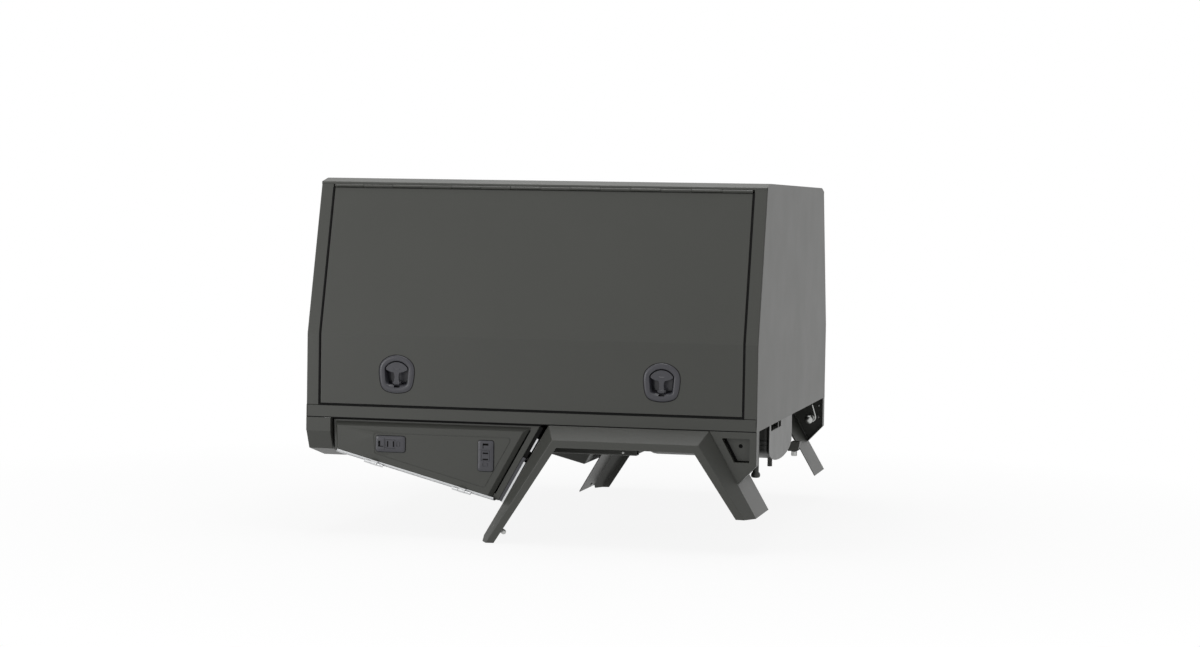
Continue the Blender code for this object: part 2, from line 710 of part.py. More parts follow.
def make_quarter(label, side, body):
    """Panel in front of the guard, with a return at its front and lower edges."""
    slope = math.tan(ARCH_ANGLE)
    back = ARCH_FRONT + QUARTER_CLEAR + SHEET
    outline = ((back, GAP), (LENGTH, GAP), (LENGTH, QUARTER_FRONT_H),
               (LENGTH - QUARTER_LOW_X, QUARTER_LOW_H),
               (back + slope * QUARTER_LOW_H - QUARTER_SHY, QUARTER_LOW_H))
    bm = bmesh.new()
    verts = [bm.verts.new(under(side, x, drop, 0)) for x, drop in outline]
    bm.faces.new(verts)
    folds = [bm.edges.get((verts[i], verts[i + 1])) for i in (1, 2)]
    grown = bmesh.ops.extrude_edge_only(bm, edges=folds)
    new = [item for item in grown["geom"] if isinstance(item, bmesh.types.BMVert)]
    bmesh.ops.translate(bm, verts=new, vec=(0, -side * QUARTER_FLANGE, 0))
    face_from(bm, (0, 0, 0), towards=False)
    panel = put(label + "_quarter_panel", bm, body)
    thicken(panel, THIN)
    return panel


def pocket_loop(side, margin, inward):
    """Outline of the side pocket, grown by a margin."""
    front = LENGTH - POCKET_FRONT + margin
    back_top = LENGTH - POCKET_FRONT - POCKET_TOP_W - margin
    back_low = LENGTH - POCKET_FRONT - POCKET_LOW_W - margin
    corners = ((back_top, POCKET_TOP - margin), (front, POCKET_TOP - margin),
               (front, POCKET_LOW + margin), (back_low, POCKET_LOW + margin))
    return [under(side, x, drop, inward) for x, drop in corners]


def make_pocket(panel, side, body):
    """Recess let into the right quarter panel."""
    hole = prism(pocket_loop(side, 0, -THIN), Vector((0, -side * 3 * THIN, 0)))
    boolean(panel, hole, "DIFFERENCE", "pocket_mouth")
    seat = THIN + GAP
    loops = [pocket_loop(side, POCKET_RIM, seat), pocket_loop(side, 0, seat),
             pocket_loop(side, 0, POCKET_DEPTH)]
    bm = loft(loops, closed=True, caps=((2, range(4)),))
    face_from(bm, under(side, LENGTH / 2, POCKET_LOW, -WIDTH), towards=True)
    thicken(put("side_pocket", bm, body), THIN)


def make_tail_skirt(label, side, body):
    """Chamfered corner under the tail: rear and front sheets, flank and underside."""
    outline = ((0, GAP), (0, TAIL_BEND), (TAIL_CHAMFER, TAIL_LOW),
               (TAIL_IN, TAIL_DEEP), (TAIL_IN, GAP))
    bm = bmesh.new()
    rear, front = ([bm.verts.new(under(side, x, drop, inward)) for inward, drop in outline]
                   for x in (0, TAIL_L))
    bm.faces.new(rear)
    bm.faces.new(front)
    for i in range(3):
        bm.faces.new((rear[i], rear[i + 1], front[i + 1], front[i]))
    face_from(bm, under(side, TAIL_L / 2, 0, TAIL_IN), towards=False)
    thicken(put(label + "_tail_skirt", bm, body), THIN)


TRAY_OUTLINE = ((TRAY_REAR, GAP), (TRAY_TOP_FRONT, GAP),
                (TRAY_LOW_FRONT, TRAY_FRONT_H), (TRAY_LOW_REAR, TRAY_REAR_H))


def tray_loop(side, outline, inward):
    """An (x, drop) outline placed on one side, at a depth in from the flank."""
    return [under(side, x, drop, inward) for x, drop in outline]


def make_tray_shell(label, side, body):
    """Toolbox casing: open at the front, with a frame that the door shuts on."""
    frame = inset(TRAY_OUTLINE, (TRAY_FRAME,) * 4)
    loops = [tray_loop(side, frame, TRAY_FACE), tray_loop(side, TRAY_OUTLINE, TRAY_FACE),
             tray_loop(side, TRAY_OUTLINE, TRAY_BACK)]
    bm = loft(loops, closed=True, caps=((2, range(4)),))
    face_from(bm, under(side, TRAY_REAR, TRAY_REAR_H, -WIDTH), towards=True)
    thicken(put(label + "_toolbox_shell", bm, body), THIN)


def tray_edge():
    """Start, direction and upward normal of the toolbox's slanted floor, as (x, drop)."""
    start = Vector((TRAY_LOW_REAR, TRAY_REAR_H))
    along = (Vector((TRAY_LOW_FRONT, TRAY_FRONT_H)) - start).normalized()
    return start, along, Vector((along.y, -along.x))


def tray_point(side, along_by, up_by, inward):
    """A point measured along the slanted floor and square to it."""
    start, along, up = tray_edge()
    place = start + along * along_by + up * up_by
    return under(side, place.x, place.y, inward)


def tray_block(side, span, rise, reach):
    """A block in the slanted floor's own directions."""
    outline = [tray_point(side, span[0], rise[0], reach[0]),
               tray_point(side, span[1], rise[0], reach[0]),
               tray_point(side, span[1], rise[1], reach[0]),
               tray_point(side, span[0], rise[1], reach[0])]
    return prism(outline, Vector((0, -side * (reach[1] - reach[0]), 0)))


def tray_barrel(side, first, last):
    """A stretch of the toolbox hinge's barrel."""
    return rod(tray_point(side, first, -TRAY_HINGE_LOW, -TRAY_HINGE_OUT),
               tray_point(side, last, -TRAY_HINGE_LOW, -TRAY_HINGE_OUT), TRAY_HINGE_R)


def hinge_spans():
    """The stretches of fixed barrel on either side of each door strap."""
    spans = []
    for place in TRAY_HINGE_AT:
        inner = STRAP_W / 2 + KNUCKLE_GAP
        spans.append((place - inner - TRAY_BARREL_L, place - inner))
        spans.append((place + inner, place + inner + TRAY_BARREL_L))
    return spans


def make_tray_hinge(label, side, body):
    """Hinge strip under the toolbox, with two barrels at each hinge."""
    outline = [(TRAY_LEAF_END, TRAY_LEAF_IN), (TRAY_LEAF_END, TRAY_HINGE_OUT)]
    for first, last in hinge_spans():
        tab = (first + TRAY_TAB_SHY, last - TRAY_TAB_SHY)
        outline += [(tab[0], TRAY_HINGE_OUT), (tab[0], -TRAY_HINGE_OUT),
                    (tab[1], -TRAY_HINGE_OUT), (tab[1], TRAY_HINGE_OUT)]
    last_end = TRAY_EDGE - TRAY_LEAF_END
    outline += [(last_end, TRAY_HINGE_OUT), (last_end, TRAY_LEAF_IN)]
    low = -GAP - THIN
    points = [tray_point(side, reach, low, inward) for reach, inward in outline]
    rise = tray_point(side, 0, -GAP, 0) - tray_point(side, 0, low, 0)
    hinge = put(label + "_toolbox_hinge", prism(points, rise), body, BRIGHT, 0.35, 0.8)
    barrels = [tray_barrel(side, first, last) for first, last in hinge_spans()]
    boolean(hinge, combine(barrels), "UNION", "barrels")


def tray_hinge_axis(side):
    """A point on the toolbox door's hinge axis."""
    return tray_point(side, TRAY_HINGE_AT[0], -TRAY_HINGE_LOW, -TRAY_HINGE_OUT)


PAN_BASE = inset(TRAY_OUTLINE, (PAN_TOP, PAN_FRONT, PAN_LOW, PAN_REAR))
PAN_FACE = inset(PAN_BASE, (PAN_BEVEL, PAN_BEVEL, PAN_LOW_BEVEL, PAN_REAR_BEVEL))
PAN_OUTER = TRAY_FACE - PAN_SEAT - PAN_RAISE


def make_tray_door(label, side, body):
    """Raised toolbox door with bevelled edges, hinge straps and latch cut-outs."""
    seat = TRAY_FACE - PAN_SEAT
    lip = inset(PAN_BASE, (PAN_LIP,) * 4)
    loops = [tray_loop(side, lip, seat), tray_loop(side, PAN_BASE, seat),
             tray_loop(side, PAN_FACE, PAN_OUTER)]
    bm = loft(loops, closed=True, caps=((2, range(4)),))
    face_from(bm, (0, 0, 0), towards=True)
    door = put(label + "_toolbox_door", bm, body)
    thicken(door, THIN)
    holes = []
    for x, drop, turned in (PUSH_REAR, PUSH_FRONT):
        low, high = push_box(side, x, drop, turned, PUSH_CORE_L + 2 * GAP,
                             PUSH_CORE_W + 2 * GAP, (-THIN, 2 * THIN))
        holes.append(box(low, high))
    boolean(door, combine(holes), "DIFFERENCE", "latch_holes")
    spans = [(place - STRAP_W / 2, place + STRAP_W / 2) for place in TRAY_HINGE_AT]
    reach = (-TRAY_HINGE_OUT, TRAY_FACE - 2 * THIN)
    straps = [tray_block(side, (first + TRAY_TAB_SHY, last - TRAY_TAB_SHY),
                         (STRAP_FOOT, STRAP_H), reach) for first, last in spans]
    boolean(door, combine(straps), "UNION", "hinge_straps")
    barrels = [tray_barrel(side, first, last) for first, last in spans]
    boolean(door, combine(barrels), "UNION", "hinge_barrels")


def push_box(side, x, drop, turned, length, width, reach):
    """Corners of a block on the toolbox door's face, with its depth behind that face."""
    if turned:
        length, width = width, length
    first = under(side, x - length / 2, drop + width / 2, PAN_OUTER + reach[0])
    second = under(side, x + length / 2, drop - width / 2, PAN_OUTER + reach[1])
    low = Vector(map(min, first, second))
    high = Vector(map(max, first, second))
    return low, high


def make_push_latch(name, side, place, body, button_body):
    """Push latch: a bezel with its core through the door, and the button in it."""
    x, drop, turned = place
    plate = box(*push_box(side, x, drop, turned, PUSH_L, PUSH_W, (-PUSH_T, -GAP)))
    latch = put(name, plate, body, LATCH_GREY, 0.5)
    core = box(*push_box(side, x, drop, turned, PUSH_CORE_L, PUSH_CORE_W,
                         (-PUSH_T / 2, BUTTON_FLOOR + PUSH_BACK)))
    boolean(latch, core, "UNION", "core")
    pocket = box(*push_box(side, x, drop, turned, BUTTON_L + 2 * BUTTON_CLEAR,
                           BUTTON_W + 2 * BUTTON_CLEAR, (-2 * PUSH_T, BUTTON_FLOOR)))
    boolean(latch, pocket, "DIFFERENCE", "button_pocket")
    button = box(*push_box(side, x, drop, turned, BUTTON_L, BUTTON_W,
                           (-BUTTON_OUT, BUTTON_T - BUTTON_OUT)))
    put(name.replace("latch", "button"), button, button_body, LATCH_GREY, 0.4)


def make_subframe(body):
    """Two rails with three cross members between them."""
    for label, side in SIDES:
        corners = ((RAIL_Y - RAIL_W / 2, 0), (RAIL_Y + RAIL_W / 2, 0),
                   (RAIL_Y + RAIL_W / 2, FLOOR_UNDER), (RAIL_Y - RAIL_W / 2, FLOOR_UNDER))
        loops = [[(x, side * y, z) for y, z in corners] for x in (RAIL_REAR, RAIL_FRONT)]
        bm = loft(loops, closed=True)
        face_from(bm, (0, side * RAIL_Y, FLOOR_UNDER / 2), towards=False)
        thicken(put(label + "_subframe_rail", bm, body, PAINT, 0.5), RAIL_WALL)
    reach = RAIL_Y - RAIL_W / 2 - GAP
    for label, x in zip(("rear", "middle", "front"), MEMBER_X):
        corners = ((x - MEMBER_W / 2, 0), (x + MEMBER_W / 2, 0),
                   (x + MEMBER_W / 2, FLOOR_UNDER), (x - MEMBER_W / 2, FLOOR_UNDER))
        loops = [[(a, y, z) for a, z in corners] for y in (-reach, reach)]
        bm = loft(loops, closed=True)
        face_from(bm, (x, 0, FLOOR_UNDER / 2), towards=False)
        thicken(put(label + "_cross_member", bm, body, PAINT, 0.5), RAIL_WALL)


def tank_outline(x, margin):
    """Cross-section of the tank: upright sides over an oval belly."""
    middle = -HALF_W + TANK_SIDE + TANK_W / 2
    half = TANK_W / 2 + margin
    belly = TANK_BELLY + margin
    points = [(x, middle - half, FLOOR_UNDER - GAP)]
    for i in range(TANK_ARC_POINTS):
        angle = math.pi * i / (TANK_ARC_POINTS - 1)
        points.append((x, middle - half * math.cos(angle), TANK_SPRING - belly * math.sin(angle)))
    points.append((x, middle + half, FLOOR_UNDER - GAP))
    return points


def make_tank(body):
    """Water tank with its drain, and the notched end plate that holds it."""
    plate_back = WALL_INNER - SHEET
    length = plate_back - GAP - TANK_REAR
    tank = put("water_tank", prism(tank_outline(TANK_REAR, 0), Vector((length, 0, 0))),
               body, BLACK, 0.55)
    drain = Vector((plate_back - DRAIN_BACK, -HALF_W + TANK_SIDE + DRAIN_IN, TANK_SPRING))
    drop = Vector((0, 0, TANK_SPRING - SEAT_DROP + DRAIN_LOW))
    boolean(tank, rod(drain, drain - drop, DRAIN_R), "UNION", "drain")
    plate = put("tank_bracket",
                prism(tank_outline(plate_back, BRACKET_MARGIN), Vector((SHEET, 0, 0))),
                body, TANK_GREY, 0.5)
    near = -HALF_W + TANK_SIDE + NOTCH_IN
    notch = box((plate_back - SHEET, near, SEAT_DROP - NOTCH_LOW),
                (WALL_INNER + SHEET, near + NOTCH_W, SEAT_DROP + NOTCH_TOP))
    boolean(plate, notch, "DIFFERENCE", "notch")


def make_fittings(body):
    """Drain spout behind the right quarter panel and the tap inside the left one."""
    top = Vector((SPOUT_X, -HALF_W + SPOUT_IN, FLOOR_UNDER - GAP))
    low = Vector((SPOUT_X, -HALF_W + SPOUT_IN, SEAT_DROP - SPOUT_LOW))
    spout = put("drain_spout", rod(top, low, SPOUT_R), body, BLACK, 0.6)
    foot = rod(low + Vector((0, 0, SPOUT_FOOT_H)), low, SPOUT_FOOT_R)
    boolean(spout, foot, "UNION", "foot")
    ball = Vector((TAP_X, HALF_W - TAP_IN, SEAT_DROP - TAP_LOW))
    wall = Vector((TAP_X, HALF_W - THIN - GAP, SEAT_DROP - TAP_LOW))
    bm = bmesh.new()
    bmesh.ops.create_uvsphere(bm, u_segments=ROUND_SIDES, v_segments=BALL_RINGS,
                              radius=TAP_BALL_R, matrix=Matrix.Translation(ball))
    tap = put("water_tap", bm, body, BRIGHT, 0.35, 0.6)
    boolean(tap, rod(ball, wall, TAP_PIPE_R), "UNION", "pipe")


def make_flank(label, side, box_body):
    """Everything on one side of the box."""
    make_door_frame(label, side, box_body)
    make_seal(label, side, box_body)
    make_guard(label, side, box_body)
    make_tail_skirt(label, side, box_body)
    make_tray_shell(label, side, box_body)
    make_tray_hinge(label, side, box_body)
    panel = make_quarter(label, side, box_body)
    if side < 0:
        make_pocket(panel, side, box_body)
    door_body = axis_empty(label + "_door_axis", hinge_axis(side))
    make_door(label, side, door_body)
    make_hinge_leaf(label + "_hinge_frame_leaf", side, 0, LEAF_HIGH, box_body)
    make_hinge_leaf(label + "_hinge_door_leaf", side, 1, LEAF_LOW, door_body)
    for end_label, end in ENDS:
        name = label + "_" + end_label
        make_dish(name + "_latch_dish", side, end * LATCH_X, door_body)
        handle_body = axis_empty(name + "_handle_axis", handle_axis(side, end * LATCH_X))
        make_handle(name + "_t_handle", side, end * LATCH_X, handle_body)
        pivot = flank(side, end * STRUT_X, HINGE_RISE - STRUT_LOW, STRUT_DEPTH)
        cylinder_body = axis_empty(name + "_strut_axis", pivot)
        make_strut(name, side, end, cylinder_body, cylinder_body)
    tray_body = axis_empty(label + "_toolbox_axis", tray_hinge_axis(side))
    make_tray_door(label, side, tray_body)
    for end_label, place in (("rear", PUSH_REAR), ("front", PUSH_FRONT)):
        name = label + "_" + end_label
        button_body = axis_empty(name + "_button_axis",
                                 under(side, place[0], place[1], PAN_OUTER))
        make_push_latch(name + "_push_latch", side, place, tray_body, button_body)


def main():
    """Build the whole box."""
    box_body = axis_empty("chassis_seat", (0, 0, 0))
    make_floor(box_body)
    make_roof(box_body)
    for label, end in ENDS:
        make_end_wall(label + "_wall", end, box_body)
    make_subframe(box_body)
    make_tank(box_body)
    make_fittings(box_body)
    for label, side in SIDES:
        make_flank(label, side, box_body)


main()
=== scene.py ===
"""Looks of the chassis mount tool box, laid out as a Blender add-on and run as a script.

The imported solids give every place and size. Folded sheets get the radii of their folds, the bought-in
latches, struts, seals and water fittings are modelled in full, and each finish is a node material.
Metres, with +X towards the cab, +Y to the left and +Z up.
"""
import json
import math

import bmesh
import bpy
from mathutils import Matrix, Vector


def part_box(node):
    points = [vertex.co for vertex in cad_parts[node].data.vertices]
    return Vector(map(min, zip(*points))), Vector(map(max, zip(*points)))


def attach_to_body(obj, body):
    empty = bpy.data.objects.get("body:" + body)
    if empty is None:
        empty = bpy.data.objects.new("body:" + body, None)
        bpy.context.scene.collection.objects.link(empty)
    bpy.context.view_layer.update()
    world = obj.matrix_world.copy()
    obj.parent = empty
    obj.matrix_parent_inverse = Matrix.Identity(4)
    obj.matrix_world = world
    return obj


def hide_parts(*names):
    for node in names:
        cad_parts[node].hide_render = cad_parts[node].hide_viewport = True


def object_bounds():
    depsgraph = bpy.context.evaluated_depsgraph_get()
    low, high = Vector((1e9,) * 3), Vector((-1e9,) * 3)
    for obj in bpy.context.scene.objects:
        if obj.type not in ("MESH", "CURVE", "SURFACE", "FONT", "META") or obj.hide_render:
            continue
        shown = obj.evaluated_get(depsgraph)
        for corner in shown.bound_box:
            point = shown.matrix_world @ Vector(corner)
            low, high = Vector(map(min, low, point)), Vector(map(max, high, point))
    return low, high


bl_info = {
    "name": "Chassis mount tool box",
    "version": (1, 0, 0),
    "blender": (4, 5, 0),
    "location": "3D View > Sidebar > Tool Box",
    "description": "Dresses the packed tool box with its finishes, latches, seals, fasteners and stage",
    "category": "Object",
}

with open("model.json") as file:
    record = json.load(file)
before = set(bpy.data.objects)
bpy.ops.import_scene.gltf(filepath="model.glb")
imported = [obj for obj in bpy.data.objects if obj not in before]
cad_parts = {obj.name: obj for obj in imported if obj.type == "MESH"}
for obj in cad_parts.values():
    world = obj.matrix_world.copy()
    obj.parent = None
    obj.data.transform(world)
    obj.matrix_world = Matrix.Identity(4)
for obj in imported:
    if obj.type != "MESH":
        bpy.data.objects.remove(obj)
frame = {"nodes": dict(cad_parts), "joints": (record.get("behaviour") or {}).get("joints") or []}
CAD_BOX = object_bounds()
SIDES = {"right": -1, "left": 1}
ENDS = ("rear", "front")
BOX = "box"
MM_PER_M = 1000.0


def ends_of_sides():
    """Each side's label and sign with the name of either end, as latches and struts have it."""
    for label, side in SIDES.items():
        for end in ENDS:
            yield label, side, label + "_" + end


def points_of(node):
    """The places of a node's vertices."""
    return [vertex.co for vertex in frame["nodes"][node].data.vertices]


def farthest(node, direction):
    """The node's point that lies farthest along a direction."""
    return max(points_of(node), key=Vector(direction).dot).copy()


# The flank of the cabinet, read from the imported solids: upright to its bend, then leaning inwards.
HALF_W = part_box("floor_tray")[1].y
SILL_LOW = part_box("floor_tray")[0].z
BEND_Z = farthest("left_door", (0.0, 1.0, 0.001)).z
DOOR_PEAK = farthest("left_door", (0.0, 0.0, 1.0))
BEND_H = BEND_Z - SILL_LOW
LEAN = math.atan2(HALF_W - DOOR_PEAK.y, DOOR_PEAK.z - BEND_Z)
GROUND = CAD_BOX[0].z

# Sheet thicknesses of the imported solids, how their meshes are read, and how their folds are rounded.
HEAVY_SHEET = 0.003
LIGHT_SHEET = 0.002
RAIL_WALL = 0.004
MERGE = 0.00001
FLAT_ANGLE = math.radians(1.0)
TWIST = math.radians(20.0)
RIM_RATIO = 1.4
FOLD_LENGTH = 0.055
FOLD_STEPS = 3
FOLD_MOST = 2.0
# A hair's breadth between surfaces, the parts of rounded, turned and swept shapes, and the angle in
# degrees under which their edges are smooth.
SKIN_GAP = 0.0003
ROUND_STEPS = 6
TURNED_SIDES = 32
SWEEP_SIDES = 12
SMOOTH_UNDER = 35.0
# In every finish: the noises' detail, the grain's share of the tone, and the part of the drift that the
# gloss spans.
DRIFT_DETAIL = 3.0
GRAIN_DETAIL = 2.0
GRAIN_SHARE = 0.45
SHEEN_SPAN = (0.3, 0.7)


def linear(hex_colour):
    """An sRGB hex colour as linear values."""
    parts = [int(hex_colour[i:i + 2], 16) / 255.0 for i in (1, 3, 5)]
    return tuple(c / 12.92 if c <= 0.04045 else ((c + 0.055) / 1.055) ** 2.4 for c in parts)


def length(label, description, default):
    """A length that a user may change."""
    return bpy.props.FloatProperty(name=label, description=description, default=default, min=0.0,
                                   unit="LENGTH")


def tint(label, description, hex_colour):
    """A colour that a user may change."""
    return bpy.props.FloatVectorProperty(name=label, description=description, subtype="COLOR",
                                         size=3, min=0.0, max=1.0, default=linear(hex_colour))


class ToolBoxSizes(bpy.types.PropertyGroup):
    """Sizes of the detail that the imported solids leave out."""

    fold_radius: length("Fold radius", "Inner radius of a folded sheet", 0.0015)
    cut_edge: length("Cut edge", "Rounding of a sheet's cut edges", 0.0005)
    bezel_crown: length("Bezel crown", "Width of the rounded outer edge of a latch dish", 0.010)
    handle_edge: length("Handle edge", "Rounding of the T-handles", 0.0018)
    push_bevel: length("Push latch bevel", "Width of the bevel round a push latch", 0.0075)
    groove_width: length("Groove width", "Width of the groove pressed in a toolbox door", 0.0034)
    groove_depth: length("Groove depth", "Depth of the groove pressed in a toolbox door", 0.0016)
    sealant: length("Sealant", "Radius of the seam sealant behind the quarter panels", 0.004)
    screw_head: length("Screw head", "Width of the button-head screws", 0.010)
    dome_nut: length("Dome nut", "Width of the dome nut at the right guard's rear foot", 0.018)


class ToolBoxColours(bpy.types.PropertyGroup):
    """Colours of the finishes."""

    powder_coat: tint("Powder coat", "Satin coat of the folded sheets", "#42433F")
    frame_paint: tint("Chassis paint", "Paint of the subframe", "#33342F")
    nylon: tint("Nylon", "Moulded nylon of the latches", "#3C3C42")
    # The black of the real seals, and also painted shade: the beads, bars, strips and fills in gaps, joints
    # and slots.
    rubber_and_painted_shade: tint("Rubber", "Door seals, trims and gaskets", "#0E0E0E")
    aluminium: tint("Aluminium", "Hinge leaves and edge strips", "#C8C9CA")
    enamel: tint("Enamel", "Gas strut cylinders", "#141414")
    chrome: tint("Chrome", "Gas strut rods", "#D4D5D6")
    polyethylene: tint("Polyethylene", "Water tank and drain spout", "#333431")
    # The body's coat painted lighter, standing in for the extra light that the end plate catches.
    plate_coat_painted_lighter: tint("Plate coat", "End plate of the water tank", "#5A5B59")
    steel: tint("Plated steel", "Tap, screws and nuts", "#B4B5B3")
    floor: tint("Floor", "Plain pale floor", "#EEEEEE")


def add(tree, kind, inputs=None, **settings):
    """Add a node, set its properties, and fill or link its inputs by name or number."""
    node = tree.nodes.new(kind)
    for key, value in settings.items():
        setattr(node, key, value)
    for key, value in (inputs or {}).items():
        if isinstance(value, bpy.types.NodeSocket):
            tree.links.new(value, node.inputs[key])
        else:
            node.inputs[key].default_value = value
    return node


def maths(tree, operation, first, second):
    """The result of a sum on two values or sockets."""
    return add(tree, "ShaderNodeMath", {0: first, 1: second}, operation=operation).outputs[0]


def per_mm(size):
    """Scale of a texture whose features are this many millimetres across."""
    return MM_PER_M / size


def coated(label, colour, spread, gloss, drift_mm, relief_mm, relief, stretch=(1.0, 1.0, 1.0), **sockets):
    """A surface whose tone and gloss drift slowly and whose relief is fine, both at sizes in millimetres."""
    material = bpy.data.materials.new(label)
    material.use_nodes = True
    tree = material.node_tree
    shader = tree.nodes["Principled BSDF"]
    for name, value in sockets.items():
        shader.inputs[name.replace("_", " ")].default_value = value
    place = add(tree, "ShaderNodeTexCoord").outputs["Object"]
    place = add(tree, "ShaderNodeMapping", {"Vector": place, "Scale": stretch}).outputs["Vector"]
    drift = add(tree, "ShaderNodeTexNoise", {"Vector": place, "Scale": per_mm(drift_mm),
                                             "Detail": DRIFT_DETAIL})
    grain = add(tree, "ShaderNodeTexNoise", {"Vector": place, "Scale": per_mm(relief_mm),
                                             "Detail": GRAIN_DETAIL})
    tone = add(tree, "ShaderNodeMix", {0: GRAIN_SHARE, 2: drift.outputs["Fac"], 3: grain.outputs["Fac"]})
    dark = [c * (1.0 - spread) for c in colour] + [1.0]
    pale = [c * (1.0 + spread) for c in colour] + [1.0]
    base = add(tree, "ShaderNodeMix", {0: tone.outputs[0], 6: dark, 7: pale}, data_type="RGBA")
    sheen = add(tree, "ShaderNodeMapRange", {
        "Value": drift.outputs["Fac"], "From Min": SHEEN_SPAN[0], "From Max": SHEEN_SPAN[1],
        "To Min": gloss[0], "To Max": gloss[1]})
    bump = add(tree, "ShaderNodeBump", {"Height": grain.outputs["Fac"], "Strength": relief[0],
                                        "Distance": relief[1]})
    tree.links.new(base.outputs[2], shader.inputs["Base Color"])
    tree.links.new(sheen.outputs["Result"], shader.inputs["Roughness"])
    tree.links.new(bump.outputs["Normal"], shader.inputs["Normal"])
    return material


def powder_coat(label, colours):
    # Powder coat baked on folded aluminium: a dark grey-green satin with a slight orange peel. The peel
    # is about 1 mm across, and drawn at 4 mm so that it shows.
    return coated(label, colours.powder_coat, 0.07, (0.43, 0.46), 180.0, 4.0, (0.03, 0.0004), IOR=1.46)


def chassis_paint(label, colours):
    # Brushed-on chassis enamel over steel: darker and flatter than the coat, with faint brush drag
    # along X.
    return coated(label, colours.frame_paint, 0.14, (0.45, 0.6), 90.0, 5.0, (0.10, 0.0004), (0.25, 1.0, 1.0),
                  IOR=1.5)


def grained_nylon(label, colours):
    # Glass-filled nylon from a fine mould: purple-grey, half matt, with a 0.5 mm grain drawn at 2 mm.
    return coated(label, colours.nylon, 0.10, (0.30, 0.38), 30.0, 2.0, (0.06, 0.0003), IOR=1.53)


def matt_rubber_and_painted_shade(label, colours):
    # Extruded EPDM sponge: almost black and dull. Its open skin, drawn at 1.5 mm, swallows most
    # reflections. The same black also paints the shade in gaps, joints, slots and the side pocket.
    return coated(label, colours.rubber_and_painted_shade, 0.25, (0.72, 0.85), 20.0, 1.5, (0.25, 0.0004), IOR=1.5,
                  Specular_IOR_Level=0.15)


def mill_aluminium(label, colours):
    # Mill-finish aluminium extrusion: bright, with die lines along X that are drawn 1.2 mm apart.
    return coated(label, colours.aluminium, 0.10, (0.30, 0.42), 25.0, 1.2, (0.15, 0.0002), (0.02, 1.0, 1.0),
                  Metallic=1.0)


def black_enamel(label, colours):
    # Stoved enamel on the strut tubes: smooth and glossy black.
    return coated(label, colours.enamel, 0.20, (0.22, 0.30), 40.0, 3.0, (0.03, 0.0002), IOR=1.5)


def hard_chrome(label, colours):
    # Ground hard chrome on the strut rods: a near mirror with fine lines round the rod.
    return coated(label, colours.chrome, 0.05, (0.06, 0.12), 8.0, 0.8, (0.04, 0.0001), (1.0, 1.0, 6.0),
                  Metallic=1.0)


def rotomoulded_polyethylene(label, colours):
    # Rotomoulded polyethylene: soft black with a waxy sheen and a 3 mm mould stipple.
    return coated(label, colours.polyethylene, 0.22, (0.46, 0.58), 60.0, 3.0, (0.22, 0.0006), IOR=1.51)


def plate_coat_painted_lighter(label, colours):
    # The same satin coat on the tank's end plate, painted paler to stand in for the extra light that the
    # plate catches.
    return coated(label, colours.plate_coat_painted_lighter, 0.10, (0.38, 0.46), 120.0, 4.0, (0.05, 0.0004), IOR=1.5)


def plated_steel(label, colours):
    # Bright zinc on turned steel: cool grey, slightly blotched, with a spangle of about 4 mm.
    return coated(label, colours.steel, 0.14, (0.28, 0.42), 12.0, 4.0, (0.10, 0.0002), Metallic=1.0)


FINISHES = {
    "powder_coat": ("satin_powder_coat", powder_coat),
    "frame_paint": ("brushed_chassis_enamel", chassis_paint),
    "latch_nylon": ("grained_glass_filled_nylon", grained_nylon),
    "seal_rubber": ("sponge_rubber_and_painted_shade", matt_rubber_and_painted_shade),
    "hinge_aluminium": ("mill_finish_aluminium", mill_aluminium),
    "strut_black": ("stoved_black_enamel", black_enamel),
    "strut_chrome": ("ground_hard_chrome", hard_chrome),
    "tank_plastic": ("rotomoulded_polyethylene", rotomoulded_polyethylene),
    "bracket_grey": ("satin_plate_coat_painted_lighter", plate_coat_painted_lighter),
    "tap_steel": ("bright_zinc_plate", plated_steel),
}


def finish(slot):
    """The material of one of the record's slots, made at its first use."""
    label, make = FINISHES[slot]
    return bpy.data.materials.get(label) or make(label, bpy.context.scene.tool_box_colours)


def loose(name, bm):
    """A bmesh as an object that isn't a finished piece yet."""
    mesh = bpy.data.meshes.new(name)
    bm.to_mesh(mesh)
    bm.free()
    shape = bpy.data.objects.new(name, mesh)
    bpy.context.scene.collection.objects.link(shape)
    return shape


def settle(shape):
    """Use up an object's modifiers, so that its mesh is plain."""
    graph = bpy.context.evaluated_depsgraph_get()
    shape.data = bpy.data.meshes.new_from_object(shape.evaluated_get(graph))
    shape.modifiers.clear()


def finished(shape, body, slot, nodes=(), sharp=SMOOTH_UNDER):
    """Smooth an object, give it its finish, and let it ride on its body in place of CAD nodes."""
    shape.data.shade_smooth()
    shape.data.set_sharp_from_angle(angle=math.radians(sharp))
    weighted = shape.modifiers.new("flat_faces", "WEIGHTED_NORMAL")
    weighted.weight = 100
    weighted.keep_sharp = True
    settle(shape)
    shape.data.materials.clear()
    shape.data.materials.append(finish(slot))
    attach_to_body(shape, body)
    if nodes:
        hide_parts(*nodes)


def piece(name, bm, body, slot, nodes=()):
    """A closed bmesh as a finished piece."""
    finished(loose(name, bm), body, slot, nodes)


def carve(shape, cutters, operation="DIFFERENCE"):
    """Cut closed shapes out of an object, or join them to it."""
    helpers = [loose(shape.name + "_cutter", bm) for bm in cutters]
    for helper in helpers:
        modifier = shape.modifiers.new("carve", "BOOLEAN")
        modifier.object = helper
        modifier.operation = operation
        modifier.solver = "EXACT"
    settle(shape)
    for helper in helpers:
        bpy.data.objects.remove(helper)


def ease(shape, width, segments=2, angle=30.0):
    """Round an object's edges and keep the result as plain mesh."""
    bevel = shape.modifiers.new("ease", "BEVEL")
    bevel.width = width
    bevel.segments = segments
    bevel.limit_method = "ANGLE"
    bevel.angle_limit = math.radians(angle)
    settle(shape)


